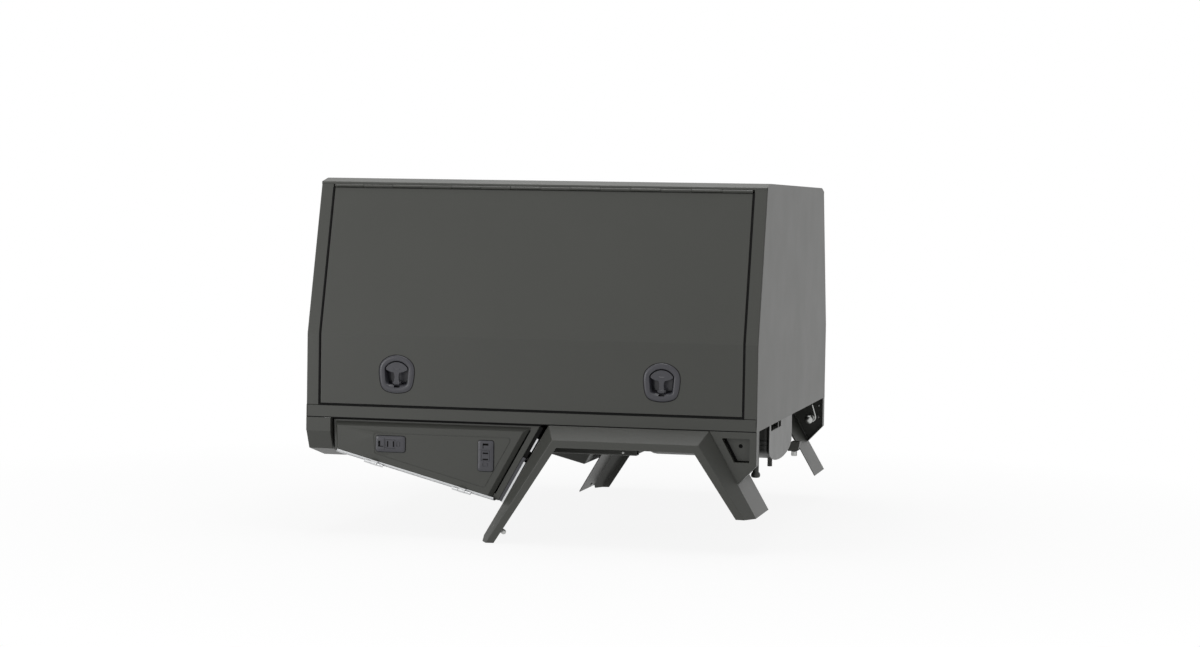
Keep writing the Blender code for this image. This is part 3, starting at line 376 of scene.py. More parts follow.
def gather(shapes):
    """Several closed bmeshes in one."""
    whole = bmesh.new()
    for bm in shapes:
        mesh = bpy.data.meshes.new("gather")
        bm.to_mesh(mesh)
        bm.free()
        whole.from_mesh(mesh)
        bpy.data.meshes.remove(mesh)
    return whole


def attach(shape, parts):
    """Add closed shapes to an object's mesh."""
    whole = gather(parts)
    whole.from_mesh(shape.data)
    whole.to_mesh(shape.data)
    whole.free()


def loft(rings, closed=False):
    """Skin a row of rings, closed at both ends or joined into a loop."""
    bm = bmesh.new()
    rows = [[bm.verts.new(point) for point in ring] for ring in rings]
    pairs = list(zip(rows, rows[1:]))
    if closed:
        pairs.append((rows[-1], rows[0]))
    for first, second in pairs:
        for i in range(len(first)):
            j = (i + 1) % len(first)
            bm.faces.new((first[i], first[j], second[j], second[i]))
    if not closed:
        bm.faces.new(rows[0])
        bm.faces.new(rows[-1])
    bmesh.ops.recalc_face_normals(bm, faces=bm.faces)
    return bm


def bar(start, end, up, out):
    """A straight bar between two points, as high and as deep as two vectors."""
    return loft([[point, point + up, point + up + out, point + out] for point in (start, end)])


def turned(profile, base, axis, sides=TURNED_SIDES):
    """A body of revolution from (radius, distance along the axis) pairs."""
    along = Vector(axis).normalized()
    across = along.orthogonal().normalized()
    other = along.cross(across)
    turns = [2 * math.pi * i / sides for i in range(sides)]
    return loft([[Vector(base) + along * reach + (across * math.cos(t) + other * math.sin(t)) * radius
                  for t in turns] for radius, reach in profile])


def rounded(corners, radius):
    """A flat outline of (a, b) pairs with its corners rounded."""
    points = []
    for i, corner in enumerate(corners):
        here = Vector(corner)
        back = (Vector(corners[i - 1]) - here).normalized()
        onward = (Vector(corners[(i + 1) % len(corners)]) - here).normalized()
        half = back.angle(onward) / 2
        reach = radius / math.tan(half)
        centre = here + (back + onward).normalized() * radius / math.sin(half)
        first = (here + back * reach - centre).normalized()
        last = (here + onward * reach - centre).normalized()
        points += [centre + first.slerp(last, step / ROUND_STEPS) * radius for step in range(ROUND_STEPS + 1)]
    return points


def oblong(left, right, low, high):
    """The corners of a rectangle."""
    return [(left, low), (right, low), (right, high), (left, high)]


def plate(width, height, radius):
    """The outline of a rounded rectangle about the origin."""
    a, b = width / 2, height / 2
    return rounded(oblong(-a, a, -b, b), radius)


def outward(path):
    """Each point of a closed flat path, with the direction to the right of its run."""
    for i, here in enumerate(path):
        run = path[(i + 1) % len(path)] - path[i - 1]
        yield here, Vector((run.y, -run.x)).normalized()


def flank(side, x, rise, depth):
    """A point on the cabinet's flank: `rise` up its sheet from the sill, and `depth` inwards."""
    along = rise - BEND_H
    if abs(along) < MERGE:
        inward, height = depth, rise - depth * math.tan(LEAN / 2)
    elif along < 0.0:
        inward, height = depth, rise
    else:
        inward = along * math.sin(LEAN) + depth * math.cos(LEAN)
        height = BEND_H + along * math.cos(LEAN) - depth * math.sin(LEAN)
    return Vector((x, side * (HALF_W - inward), SILL_LOW + height))


def on_skin(side, centre, outline, depth, rise=0.0):
    """A flat outline laid parallel to the upright skin, at a depth behind it and a rise over a centre."""
    return [Vector((centre.x + a, side * (HALF_W - depth), centre.z + (b + rise))) for a, b in outline]


def middle(node):
    """The middle of a node's box."""
    low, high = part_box(node)
    return (low + high) / 2


def joint(name, item):
    """The place or the axis of one of the frame's joints."""
    return Vector(next(row for row in frame["joints"] if row["name"] == name)[item])


def folded(node, thickness, mirrored=""):
    """A CAD sheet with its folds rounded as a press brake leaves them, and its cut edges eased."""
    sizes = bpy.context.scene.tool_box_sizes
    bm = bmesh.new()
    bm.from_mesh(frame["nodes"][mirrored or node].data)
    if mirrored:
        bmesh.ops.scale(bm, vec=(1.0, -1.0, 1.0), verts=bm.verts)
        bmesh.ops.reverse_faces(bm, faces=bm.faces)
    bmesh.ops.remove_doubles(bm, verts=bm.verts, dist=MERGE)
    bmesh.ops.dissolve_limit(bm, angle_limit=FLAT_ANGLE, verts=bm.verts, edges=bm.edges)
    bmesh.ops.join_triangles(bm, faces=bm.faces, angle_face_threshold=TWIST, angle_shape_threshold=math.pi)
    weight = bm.edges.layers.float.new("bevel_weight_edge")
    rim = RIM_RATIO * thickness
    broad = {face: 2 * face.calc_area() / face.calc_perimeter() > rim for face in bm.faces}
    outer = sizes.fold_radius + thickness
    for edge in bm.edges:
        if not edge.is_manifold:
            continue
        angle = edge.calc_face_angle()
        if angle < FLAT_ANGLE:
            continue
        reach = sizes.cut_edge
        if edge.calc_length() > FOLD_LENGTH and all(broad[face] for face in edge.link_faces):
            reach = (outer if edge.is_convex else sizes.fold_radius) * math.tan(min(angle, FOLD_MOST) / 2)
        edge[weight] = min(1.0, reach / (2 * outer))
    sheet = loose(node + "_sheet", bm)
    bevel = sheet.modifiers.new("folds", "BEVEL")
    bevel.width = 2 * outer
    bevel.limit_method = "WEIGHT"
    bevel.segments = FOLD_STEPS
    bevel.use_clamp_overlap = False
    settle(sheet)
    return sheet


def folded_sheet(node, thickness, slot, body=BOX, sharp=SMOOTH_UNDER):
    """A folded sheet with its finish, in place of its node."""
    finished(folded(node, thickness), body, slot, [node], sharp)


def nodes_tree(label, **sockets):
    """A Geometry Nodes tree with named inputs and a finish, and the outputs of its input node."""
    tree = bpy.data.node_groups.new(label, "GeometryNodeTree")
    for name, kind in {"Geometry": "Geometry", **sockets, "Finish": "Material"}.items():
        tree.interface.new_socket(name, in_out="INPUT", socket_type="NodeSocket" + kind)
    tree.interface.new_socket("Geometry", in_out="OUTPUT", socket_type="NodeSocketGeometry")
    return tree, add(tree, "NodeGroupInput").outputs


def close_tree(tree, geometry, material):
    """End a node tree with real geometry in its finish."""
    real = add(tree, "GeometryNodeRealizeInstances", {"Geometry": geometry}).outputs["Geometry"]
    done = add(tree, "GeometryNodeSetMaterial", {"Geometry": real, "Material": material}).outputs["Geometry"]
    add(tree, "NodeGroupOutput", {"Geometry": done})
    return tree


def grown(field, make_tree, slot, **values):
    """Run a node tree on an object with its inputs set, and keep the result as plain mesh."""
    tree = bpy.data.node_groups.get(make_tree.__name__) or make_tree(make_tree.__name__)
    modifier = field.modifiers.new(tree.name, "NODES")
    modifier.node_group = tree
    values["Finish"] = finish(slot)
    for item in tree.interface.items_tree:
        if item.name in values:
            modifier[item.identifier] = values[item.name]
    settle(field)


def round_sweep(label):
    """Node tree that runs a round bead or pipe along a chain of edges, with closed ends."""
    tree, given = nodes_tree(label, Radius="Float", Sides="Int")
    path = add(tree, "GeometryNodeMeshToCurve", {"Mesh": given["Geometry"]}).outputs["Curve"]
    ring = add(tree, "GeometryNodeCurvePrimitiveCircle",
               {"Resolution": given["Sides"], "Radius": given["Radius"]}).outputs["Curve"]
    pipe = add(tree, "GeometryNodeCurveToMesh", {"Curve": path, "Profile Curve": ring, "Fill Caps": True})
    return close_tree(tree, pipe.outputs["Mesh"], given["Finish"])


def swept(name, points, slot, radius):
    """A round bead or pipe through a row of points, as a plain mesh."""
    bm = bmesh.new()
    chain = [bm.verts.new(point) for point in points]
    for pair in zip(chain, chain[1:]):
        bm.edges.new(pair)
    field = loose(name, bm)
    grown(field, round_sweep, slot, Radius=radius, Sides=SWEEP_SIDES)
    return field


# How far the toe of a rear leg is trimmed, and the height of the trim.
TOE_TRIM = 0.011
TOE_HIGH = 0.060


class TOOLBOX_OT_cabinet(bpy.types.Operator):
    """Round the folds of the cabinet, its doors, its guards and everything folded below it"""

    bl_idname = "toolbox.cabinet"
    bl_label = "Folded sheets"

    def execute(self, context):
        for node in ("floor_tray", "roof_panel", "front_wall", "rear_wall"):
            folded_sheet(node, HEAVY_SHEET, "powder_coat")
        folded_sheet("left_quarter_panel", LIGHT_SHEET, "powder_coat")
        for label in SIDES:
            self.wheel_guard(label + "_wheel_guard")
            for kind in ("door_frame", "tail_skirt", "toolbox_shell"):
                folded_sheet(label + "_" + kind, LIGHT_SHEET, "powder_coat")
            folded_sheet(label + "_door", LIGHT_SHEET, "powder_coat", label + "_gullwing")
        return {"FINISHED"}

    def wheel_guard(self, node):
        """A wheel guard, with the toe of its rear leg trimmed upright."""
        low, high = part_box(node)
        guard = folded(node, HEAVY_SHEET)
        start = Vector((low.x + TOE_TRIM, low.y - TOE_TRIM, low.z - TOE_TRIM))
        end = Vector((start.x, high.y + TOE_TRIM, start.z))
        carve(guard, [bar(start, end, Vector((0.0, 0.0, TOE_HIGH)), Vector((-2 * TOE_TRIM, 0.0, 0.0)))])
        finished(guard, BOX, "powder_coat", [node])


# Side pocket of the right quarter panel: depths behind the panel's skin, rim, corners and eased edges.
# Then the black layer under its cover, which paints the shade seen through the cover's wide lower and rear
# gaps, the cover with the gaps to the pocket's top, front, lower and rear edges, and the decimals by which
# the corners of its mouth are told apart.
POCKET_SEAT = 0.0023
POCKET_FLOOR = 0.032
POCKET_RIM = 0.008
POCKET_CORNER = 0.003
POCKET_EDGE = 0.0008
POCKET_SHADE_LAYER = 0.0015
POCKET_PLATE = 0.006
PLATE_GAPS = (0.0010, 0.0010, 0.0040, 0.0100)
DIGITS = 5


def inset(outline, margins):
    """A convex outline, clockwise in (x, z), with each edge moved inwards by its own margin."""
    lines = []
    for i, margin in enumerate(margins):
        run = (outline[(i + 1) % len(outline)] - outline[i]).normalized()
        lines.append((outline[i] + Vector((run.y, -run.x)) * margin, run))
    corners = []
    for (start, run), (other, way) in zip(lines[-1:] + lines[:-1], lines):
        offset = other - start
        reach = (offset.x * way.y - offset.y * way.x) / (run.x * way.y - run.y * way.x)
        corners.append(start + run * reach)
    return corners


class TOOLBOX_OT_quarter_details(bpy.types.Operator):
    """Let the pocket into the right quarter panel, and seal both panels to their wheel guards"""

    bl_idname = "toolbox.quarter_details"
    bl_label = "Quarter panel details"

    def execute(self, context):
        panel = folded("right_quarter_panel", LIGHT_SHEET, "left_quarter_panel")
        carve(panel, [self.block(0.0, -POCKET_SEAT, 2 * POCKET_SEAT)])
        finished(panel, BOX, "powder_coat", ["right_quarter_panel"])
        back = POCKET_SEAT + LIGHT_SHEET
        levels = [(0.0, POCKET_FLOOR), (0.0, POCKET_SEAT), (POCKET_RIM, POCKET_SEAT), (POCKET_RIM, back),
                  (LIGHT_SHEET, back), (LIGHT_SHEET, POCKET_FLOOR + LIGHT_SHEET)]
        self.eased("side_pocket_sheet", [self.ring(*level) for level in levels], ["side_pocket"])
        top = POCKET_FLOOR - POCKET_SHADE_LAYER
        piece("side_pocket_shade_layer", self.block(-SKIN_GAP, top, POCKET_FLOOR - MERGE), BOX, "seal_rubber")
        outline = rounded(inset(self.corners(), PLATE_GAPS), POCKET_CORNER)
        rings = [on_skin(SIDES["right"], Vector(), outline, depth) for depth in (top, top - POCKET_PLATE)]
        self.eased("side_pocket_plate", rings)
        radius = context.scene.tool_box_sizes.sealant
        for label, side in SIDES.items():
            node = label + "_quarter_panel"
            start = farthest(node, (-1.0, 0.0, 0.2))
            end = farthest(node, (-1.0, 0.0, -1.0))
            start.y = end.y = side * (HALF_W - LIGHT_SHEET - radius / 2)
            bead = swept(label + "_quarter_sealant", [start, (start + end) / 2, end], "powder_coat", radius)
            finished(bead, BOX, "powder_coat")
        return {"FINISHED"}

    def corners(self):
        """The pocket's mouth: its corners clockwise in (x, z), from the top rear one."""
        floor = POCKET_FLOOR - HALF_W
        points = {(round(point.x, DIGITS), round(point.z, DIGITS))
                  for point in points_of("side_pocket") if abs(point.y - floor) < SKIN_GAP}
        points = [Vector(point) for point in points]
        heart = sum(points, Vector((0.0, 0.0))) / len(points)
        points.sort(key=lambda point: -math.atan2(point.y - heart.y, point.x - heart.x))
        first = min(range(len(points)), key=lambda i: points[i].x - points[i].y)
        return points[first:] + points[:first]

    def ring(self, margin, depth):
        """The mouth's outline, grown by a margin, at a depth behind the panel's skin."""
        outline = rounded(inset(self.corners(), (-margin,) * 4), POCKET_CORNER + margin)
        return on_skin(SIDES["right"], Vector(), outline, depth)

    def block(self, margin, first, last):
        """A straight block that fills the mouth, grown by a margin, between two depths."""
        return loft([self.ring(margin, first), self.ring(margin, last)])

    def eased(self, name, rings, nodes=()):
        """A coated piece through a row of rings, with its edges eased."""
        shape = loose(name, loft(rings))
        ease(shape, POCKET_EDGE)
        finished(shape, BOX, "powder_coat", nodes)


CROSS_MEMBERS = [place + "_cross_member" for place in ("rear", "middle", "front")]


class TOOLBOX_OT_subframe(bpy.types.Operator):
    """Round the rolled corners of the subframe's rails and cross members"""

    bl_idname = "toolbox.subframe"
    bl_label = "Subframe"

    def execute(self, context):
        for node in [label + "_subframe_rail" for label in SIDES] + CROSS_MEMBERS:
            folded_sheet(node, RAIL_WALL, "frame_paint")
        return {"FINISHED"}


# Door seals: a D-shaped bulb on a flat foot, in millimetres across the door's lip and inwards from it.
SEAL_SECTION = [(-4.0, 3.0), (4.0, 3.0), (4.0, 1.6), (2.4, 1.4), (3.2, 0.2), (3.4, -1.2), (2.7, -2.7),
                (1.4, -3.7), (0.0, -4.0), (-1.4, -3.7), (-2.7, -2.7), (-3.4, -1.2), (-3.2, 0.2),
                (-2.4, 1.4), (-4.0, 1.6)]
SEAL_RADIUS = 0.0042
SEAL_CORNER = 0.022


class TOOLBOX_OT_door_seals(bpy.types.Operator):
    """Run a bulb seal with rounded corners round each door opening"""

    bl_idname = "toolbox.door_seals"
    bl_label = "Door seals"

    def execute(self, context):
        for label, side in SIDES.items():
            node = label + "_door_seal"
            low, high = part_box(node)
            depth = HALF_W - max(abs(low.y), abs(high.y)) + SEAL_RADIUS
            half = high.x - SEAL_RADIUS
            foot = low.z + SEAL_RADIUS - SILL_LOW
            climb = high.z - SEAL_RADIUS - BEND_Z + depth * math.sin(LEAN)
            head = BEND_H + climb / math.cos(LEAN)
            path = rounded(oblong(-half, half, foot, head), SEAL_CORNER)
            turn = 2 * (ROUND_STEPS + 1)
            path = path[:turn] + [Vector((half, BEND_H))] + path[turn:] + [Vector((-half, BEND_H))]
            rings = []
            for here, out in outward(path):
                out = out / MM_PER_M
                rings.append([flank(side, here.x + out.x * a, here.y + out.y * a, depth + b / MM_PER_M)
                              for a, b in SEAL_SECTION])
            piece(label + "_bulb_seal", loft(rings, closed=True), BOX, "seal_rubber", [node])
        return {"FINISHED"}


# Black rubber bead in the gap round a door, which paints the gap's shade: its lap on the post and reach
# into the gap, its span over the door frame's low edge, and its depths behind the skin. Then the black bar
# under the sill, which paints the shade of the joint there: its height and its depths.
SHADE_BEAD_LAP = 0.0012
SHADE_BEAD_REACH = 0.0052
SHADE_BEAD_FOOT = (-0.0018, 0.0052)
SHADE_BEAD_DEPTH = (-0.0006, 0.0030)
SILL_SHADE_BAR = 0.0030
SILL_SHADE_BAR_DEPTH = (0.0004, 0.0040)


class TOOLBOX_OT_gap_trims(bpy.types.Operator):
    """Line the gap beside and below each door with a black bead, and run a black bar under each sill, both
    painting shade
    """

    bl_idname = "toolbox.gap_trims"
    bl_label = "Gap trims"

    def execute(self, context):
        for label, side in SIDES.items():
            low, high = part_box(label + "_door_frame")
            half = high.x - LIGHT_SHEET
            foot = [low.z + reach - SILL_LOW for reach in SHADE_BEAD_FOOT]
            bend = (BEND_H, BEND_H)
            head = (BEND_H + (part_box(label + "_door")[1].z - BEND_Z) / math.cos(LEAN),) * 2
            front, back = SHADE_BEAD_DEPTH
            rings = []
            for way, rises in ((-1, head), (-1, bend), (-1, foot), (1, foot), (1, bend), (1, head)):
                outer = ((half + SHADE_BEAD_LAP) * way, rises[0])
                inner = ((half - SHADE_BEAD_REACH) * way, rises[1])
                rings.append([flank(side, *outer, front), flank(side, *inner, front),
                              flank(side, *inner, back), flank(side, *outer, back)])
            piece(label + "_door_gap_shade_bead", loft(rings), BOX, "seal_rubber")
            front, back = SILL_SHADE_BAR_DEPTH
            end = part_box("floor_tray")[1].x
            shade_bar = bar(flank(side, -end, 0.0, front), flank(side, end, 0.0, front),
                       Vector((0.0, 0.0, SILL_SHADE_BAR)), Vector((0.0, side * (front - back), 0.0)))
            piece(label + "_sill_shade_bar", shade_bar, BOX, "seal_rubber")
        return {"FINISHED"}


# T-latches: how far the bezel stands out, and the parts of a dish's outline and of its crown.
BEZEL_PROUD = 0.005
DISH_POINTS = 80
CROWN_STEPS = 7
# Outlines of the bezel and of the bowl's mouth, round above, straight at the sides and flatter below:
# two discs as (rise of the middle, radius), the sides as (half width, widening upwards), and how
# sharply these meet. The least spread keeps the sides' reach finite.
BEZEL = (((-0.006, 0.075), (0.115, 0.184)), (0.0675, 0.122), 10.0)
MOUTH = (((-0.0036, 0.0530), (0.0222, 0.0727)), (0.0444, 0.076), 40.0)
LEAST_SPREAD = 0.1
# Rings from the crown into the bowl, as (inset from the mouth, depth behind the skin, extra inset of
# the lower lip), and the first of them that has a wall behind it.
BOWL = [(-0.0040, -0.0049, 0.0), (-0.0018, -0.0045, 0.0), (-0.0004, -0.0036, 0.0), (0.0006, -0.0030, 0.0014),
        (0.0014, -0.0008, 0.0034), (0.0022, 0.0020, 0.0060), (0.0030, 0.0050, 0.0088),
        (0.0044, 0.0260, 0.0092), (0.0070, 0.0312, 0.0084), (0.0120, 0.0340, 0.0070)]
BOWL_BACK = 4
DISH_WALL = 0.002
# The flat back of the bezel and the gasket under it, as (inset from the bezel's outline, depth). The
# gasket is real, and its black edge also paints the contact shade round the bezel.
DISH_RIM = [(0.0125, -SKIN_GAP), (0.004, -SKIN_GAP)]
DISH_GASKET = [(-0.0014, -0.0001), (-0.0014, -0.0010), (0.0060, -0.0010), (0.0060, -0.0001)]
# Pivot ears: thickness, distance from the middle, and (depth, half height, corner).
EAR_T = 0.0025
EAR_GAP = 0.0128
EAR = (0.028, 0.0045, 0.002)
# Case behind the bowl: width, height and corner, its back, and its levels as (how much smaller, depth).
# Then the turned spindle on it.
CASE = (0.078, 0.062, 0.008)
CASE_BACK = 0.0390
CASE_LEVELS = ((0.0, 0.0358), (0.0, 0.0382), (0.004, CASE_BACK))
SPINDLE = [(0.010, 0.0388), (0.010, 0.0405), (0.0085, 0.0420), (0.0045, 0.0422)]
SPINDLE_SIDES = 6
# Keyhole in the lower lip: width, height and corner, its middle, and the depths that it is cut between.
KEYHOLE = (0.022, 0.007, 0.0034)
KEYHOLE_AT = -0.0445
KEYHOLE_DEPTH = (-0.010, 0.014)
# Cup behind the keyhole: width, height and corner, its middle and wall, the rim's depths below and
# above, its back.
KEY_CUP = (0.0280, 0.0112, 0.0030)
KEY_CUP_AT = -0.0450
KEY_CUP_T = 0.0015
KEY_CUP_RIM = (0.0004, 0.0052)
KEY_CUP_BACK = 0.0300


def dish_ring(shape, side, centre, margin, depth, droop=0.0):
    """A ring of a latch dish: an outline drawn in by a margin, and at the lower lip by the droop too."""
    discs, (half, widening), sharpness = shape
    points = []
    for i in range(DISH_POINTS):
        across = math.cos(2 * math.pi * i / DISH_POINTS)
        rise = math.sin(2 * math.pi * i / DISH_POINTS)
        reaches = [up * rise + math.sqrt(radius ** 2 - (up * across) ** 2) for up, radius in discs]
        reaches.append(half / max(abs(across) - widening * rise, LEAST_SPREAD))
        reach = sum(value ** -sharpness for value in reaches) ** (-1 / sharpness)
        reach -= margin + droop * max(0.0, -rise) ** 2
        points.append((across * reach, rise * reach))
    return on_skin(side, centre, points, depth)


def key_cup(side, centre):
    """The closed cup behind the keyhole, whose rim slopes with the dish's lower lip."""
    width, height, corner = KEY_CUP
    low, high = KEY_CUP_RIM
    rings = []
    levels = ((KEY_CUP_T, KEY_CUP_BACK - KEY_CUP_T), (KEY_CUP_T, None), (0.0, None), (0.0, KEY_CUP_BACK))
    for wall, back in levels:
        ring = []
        for a, b in plate(width - 2 * wall, height - 2 * wall, corner - wall):
            depth = low + (high - low) * (b / height + 0.5) if back is None else back
            ring += on_skin(side, centre, [(a, b)], depth, KEY_CUP_AT)
        rings.append(ring)
    return loft(rings)


class TOOLBOX_OT_latch_dishes(bpy.types.Operator):
    """Mould the crowned bezel, bowl, pivot ears and back case of each T-latch"""

    bl_idname = "toolbox.latch_dishes"
    bl_label = "Latch dishes"

    def execute(self, context):
        crown = self.crown(context.scene.tool_box_sizes.bezel_crown)
        for label, side, name in ends_of_sides():
            self.dish(name + "_latch_dish", label + "_gullwing", side, crown,
                      joint(name + "_handle_lift", "pos_m"))
        return {"FINISHED"}

    def crown(self, width):
        """Levels of the bezel's round outer edge, as (inset, depth)."""
        steep = 2 * math.atan2(BEZEL_PROUD - SKIN_GAP, width)
        radius = width / math.sin(steep)
        turns = [steep * (1 - step / CROWN_STEPS) for step in range(CROWN_STEPS + 1)]
        return [(radius * (math.sin(steep) - math.sin(turn)),
                 -SKIN_GAP - radius * (math.cos(turn) - math.cos(steep))) for turn in turns]

    def dish(self, node, body, side, crown, pivot):
        """One dish and its gasket."""
        centre = middle(node)

        def rings(shape, levels):
            return [dish_ring(shape, side, centre, *level) for level in levels]

        piece(node + "_gasket", loft(rings(BEZEL, DISH_GASKET), closed=True), body, "seal_rubber")
        back = [(margin - DISH_WALL, depth + DISH_WALL, droop)
                for margin, depth, droop in reversed(BOWL[BOWL_BACK:])]
        skin = rings(BEZEL, crown) + rings(MOUTH, BOWL + back) + rings(BEZEL, DISH_RIM)
        dish = loose(node + "_moulding", loft(skin, closed=True))
        slot = plate(*KEYHOLE)
        carve(dish, [loft([on_skin(side, centre, slot, depth, KEYHOLE_AT) for depth in KEYHOLE_DEPTH])])
        margin, depth, droop = BOWL[-1]
        floor = loft(rings(MOUTH, [(margin - MERGE, depth + extra, droop) for extra in (0.0, DISH_WALL)]))
        reach, half, corner = EAR
        ear = rounded(oblong(0.0, reach, -half, half), corner)
        ears = [loft([[Vector((pivot.x + x, pivot.y - side * a, pivot.z + b)) for a, b in ear]
                      for x in (way * EAR_GAP, way * (EAR_GAP + EAR_T))]) for way in (-1, 1)]
        width, height, corner = CASE
        case = loft([on_skin(side, centre, plate(width - less, height - less, corner), depth)
                     for less, depth in CASE_LEVELS])
        hub = turned(SPINDLE, (centre.x, side * HALF_W, centre.z), (0, -side, 0), SPINDLE_SIDES)
        attach(dish, [floor, case, hub, key_cup(side, centre)] + ears)
        finished(dish, body, "latch_nylon", [node])


# T-handles: the head's arc, and half of the outline below it, as (across, up) from the dish's middle.
# Then the two outlines of the ridge on the head as (width, height, corner, rise, depth), and the depths
# and edges of the handle.
HEAD_RADIUS = 0.0480
HEAD_DROP = -0.0036
HEAD_FOOT = 0.0258
HEAD_STEPS = 36
STEM = [(-0.0405, 0.0172), (-0.0365, 0.0138), (-0.0300, 0.0104), (-0.0225, 0.0080), (-0.0160, 0.0068),
        (-0.0122, 0.0056), (-0.0100, 0.0034), (-0.0088, -0.0006), (-0.0080, -0.0070), (-0.0080, -0.0130),
        (-0.0090, -0.0200), (-0.0106, -0.0280), (-0.0118, -0.0335), (-0.0112, -0.0360), (-0.0085, -0.0372)]
RIDGE = ((0.022, 0.0046, 0.0020, 0.0197, 0.0008), (0.020, 0.0012, 0.0005, 0.0182, -0.0020))
HANDLE_DEPTH = (-0.002, 0.008)
HANDLE_STEPS = 3
HANDLE_EASED_OVER = 40.0
HANDLE_SHARP = 30.0
BARREL = [(0.0042, -0.0118), (0.0050, -0.0110), (0.0050, 0.0110), (0.0042, 0.0118)]


class TOOLBOX_OT_t_handles(bpy.types.Operator):
    """Mould each T-handle with its half-moon head, waisted stem and pivot barrel"""

    bl_idname = "toolbox.t_handles"
    bl_label = "T-handles"

    def execute(self, context):
        start = math.asin(HEAD_FOOT / HEAD_RADIUS)
        turns = [start + (math.pi - 2 * start) * step / HEAD_STEPS for step in range(HEAD_STEPS + 1)]
        arc = [(HEAD_RADIUS * math.cos(turn), HEAD_DROP + HEAD_RADIUS * math.sin(turn)) for turn in turns]
        outline = arc + STEM + [(-a, b) for a, b in reversed(STEM)]
        for _, side, name in ends_of_sides():
            centre = middle(name + "_latch_dish")
            handle = loose(name + "_t_handle_moulding",
                           loft([on_skin(side, centre, outline, depth) for depth in HANDLE_DEPTH]))
            ease(handle, context.scene.tool_box_sizes.handle_edge, HANDLE_STEPS, HANDLE_EASED_OVER)
            barrel = turned(BARREL, joint(name + "_handle_lift", "pos_m"), (1, 0, 0))
            carve(handle, [barrel], "UNION")
            attach(handle, [loft([on_skin(side, centre, plate(*shape), HANDLE_DEPTH[0] + depth, rise)
                                  for *shape, rise, depth in RIDGE])])
            finished(handle, name + "_handle", "latch_nylon", [name + "_t_handle"], HANDLE_SHARP)
        return {"FINISHED"}


# Push latches, in the latch's own directions: along its length from the pull, across, and out of the
# door.
PUSH_PROUD = 0.006
PUSH_RIM = 0.006
PUSH_SHARP = 25.0
BUTTON_CLEAR = 0.0005
BUTTON_TRAVEL = 0.0062
# Levels as (how much smaller, corner, height): the core over the latch's back, the outer edge as shares
# of the latch's height, the top's corner, the hole's mouth over the top, and the button over its own
# top.
CORE_LEVELS = ((0.004, 0.004, 0.0), (0.0, 0.006, 0.002))
EDGE_LEVELS = ((0.0, 0.009, 0.45), (0.0012, 0.0085, 0.60), (0.004, 0.008, 0.74))
TOP_CORNER = 0.006
HOLE_LEVELS = ((-0.001, 0.003, 0.0), (0.0, 0.0025, -0.0005))
BUTTON_LEVELS = ((0.0, 0.0025, -0.0010), (0.0008, 0.0025, -0.0003), (0.0024, 0.002, 0.0))
# Finger pull with a thin leg: its ends, width, where the leg ends, the leg's width, its depth, and the
# depth of the black fill that paints the shade in it.
PULL_SLOT = (-0.0450, -0.0375)
PULL_WIDTH = 0.021
PULL_LEG = (-0.026, 0.0025)
PULL_DEEP = 0.016
PULL_SHADE_FILL = 0.0050
SEAM = (-0.0230, -0.0210)
SEAM_WIDTH = 0.043
SEAM_DEEP = 0.0018
# Window: its middle, (length, width, corner) of its pane and of the groove round it, and the groove's
# depth.
WINDOW_AT = 0.0305
PANE = (0.009, 0.015, 0.0008)
WINDOW = (0.0134, 0.0194, 0.0015)
WINDOW_DEEP = 0.0022
# Slots in the button: their middles, shape and depth, and the depths of the black fills that paint their
# shade.
BUTTON_SLOTS = (-0.0098, 0.0122)
BUTTON_SLOT = (0.0054, 0.0205, 0.0012)
BUTTON_SLOT_DEEP = 0.012
SLOT_SHADE_FILL_DOWN = (0.0105, 0.0016)
# Gasket, real, whose black edge also paints the contact shade round the latch: how much wider than the
# latch, its corner, and its heights.
PUSH_GASKET = (0.0030, 0.0105, (0.0001, 0.0012))


class Latch:
    """Directions, size and skin of one push latch or button, from its node's box."""

    def __init__(self, node, side):
        low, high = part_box(node)
        self.side = side
        self.inner, self.outer = sorted((abs(low.y), abs(high.y)))
        self.skin = self.outer - PUSH_PROUD
        size = high - low
        self.size = (max(size.x, size.z), min(size.x, size.z))
        self.centre = middle(node)
        flat = size.x > size.z
        self.along = Vector((1, 0, 0)) if flat else Vector((0, 0, -1))
        self.across = Vector((0, 0, 1)) if flat else Vector((1, 0, 0))

    def ring(self, outline, out):
        """A flat outline placed at a height above the door's face."""
        points = [self.centre + self.along * a + self.across * b for a, b in outline]
        for point in points:
            point.y = self.side * (self.skin + out)
        return points

    def block(self, outline, heights):
        """A straight block between two heights."""
        return loft([self.ring(outline, out) for out in heights])

    def stack(self, levels):
        """A solid through rounded rectangles, given as (size, how much smaller, corner, height)."""
        return loft([self.ring(plate(long - less, wide - less, corner), out)
                     for (long, wide), less, corner, out in levels])


def shifted(outline, along):
    """An outline moved along its first direction."""
    return [(a + along, b) for a, b in outline]


def pull_outline():
    """The deep finger pull of a push latch, with a thin leg at one end."""
    far, near = PULL_SLOT
    end, leg = PULL_LEG
    half = PULL_WIDTH / 2
    return [(far, -half), (end, -half), (end, leg - half), (near, leg - half), (near, half), (far, half)]


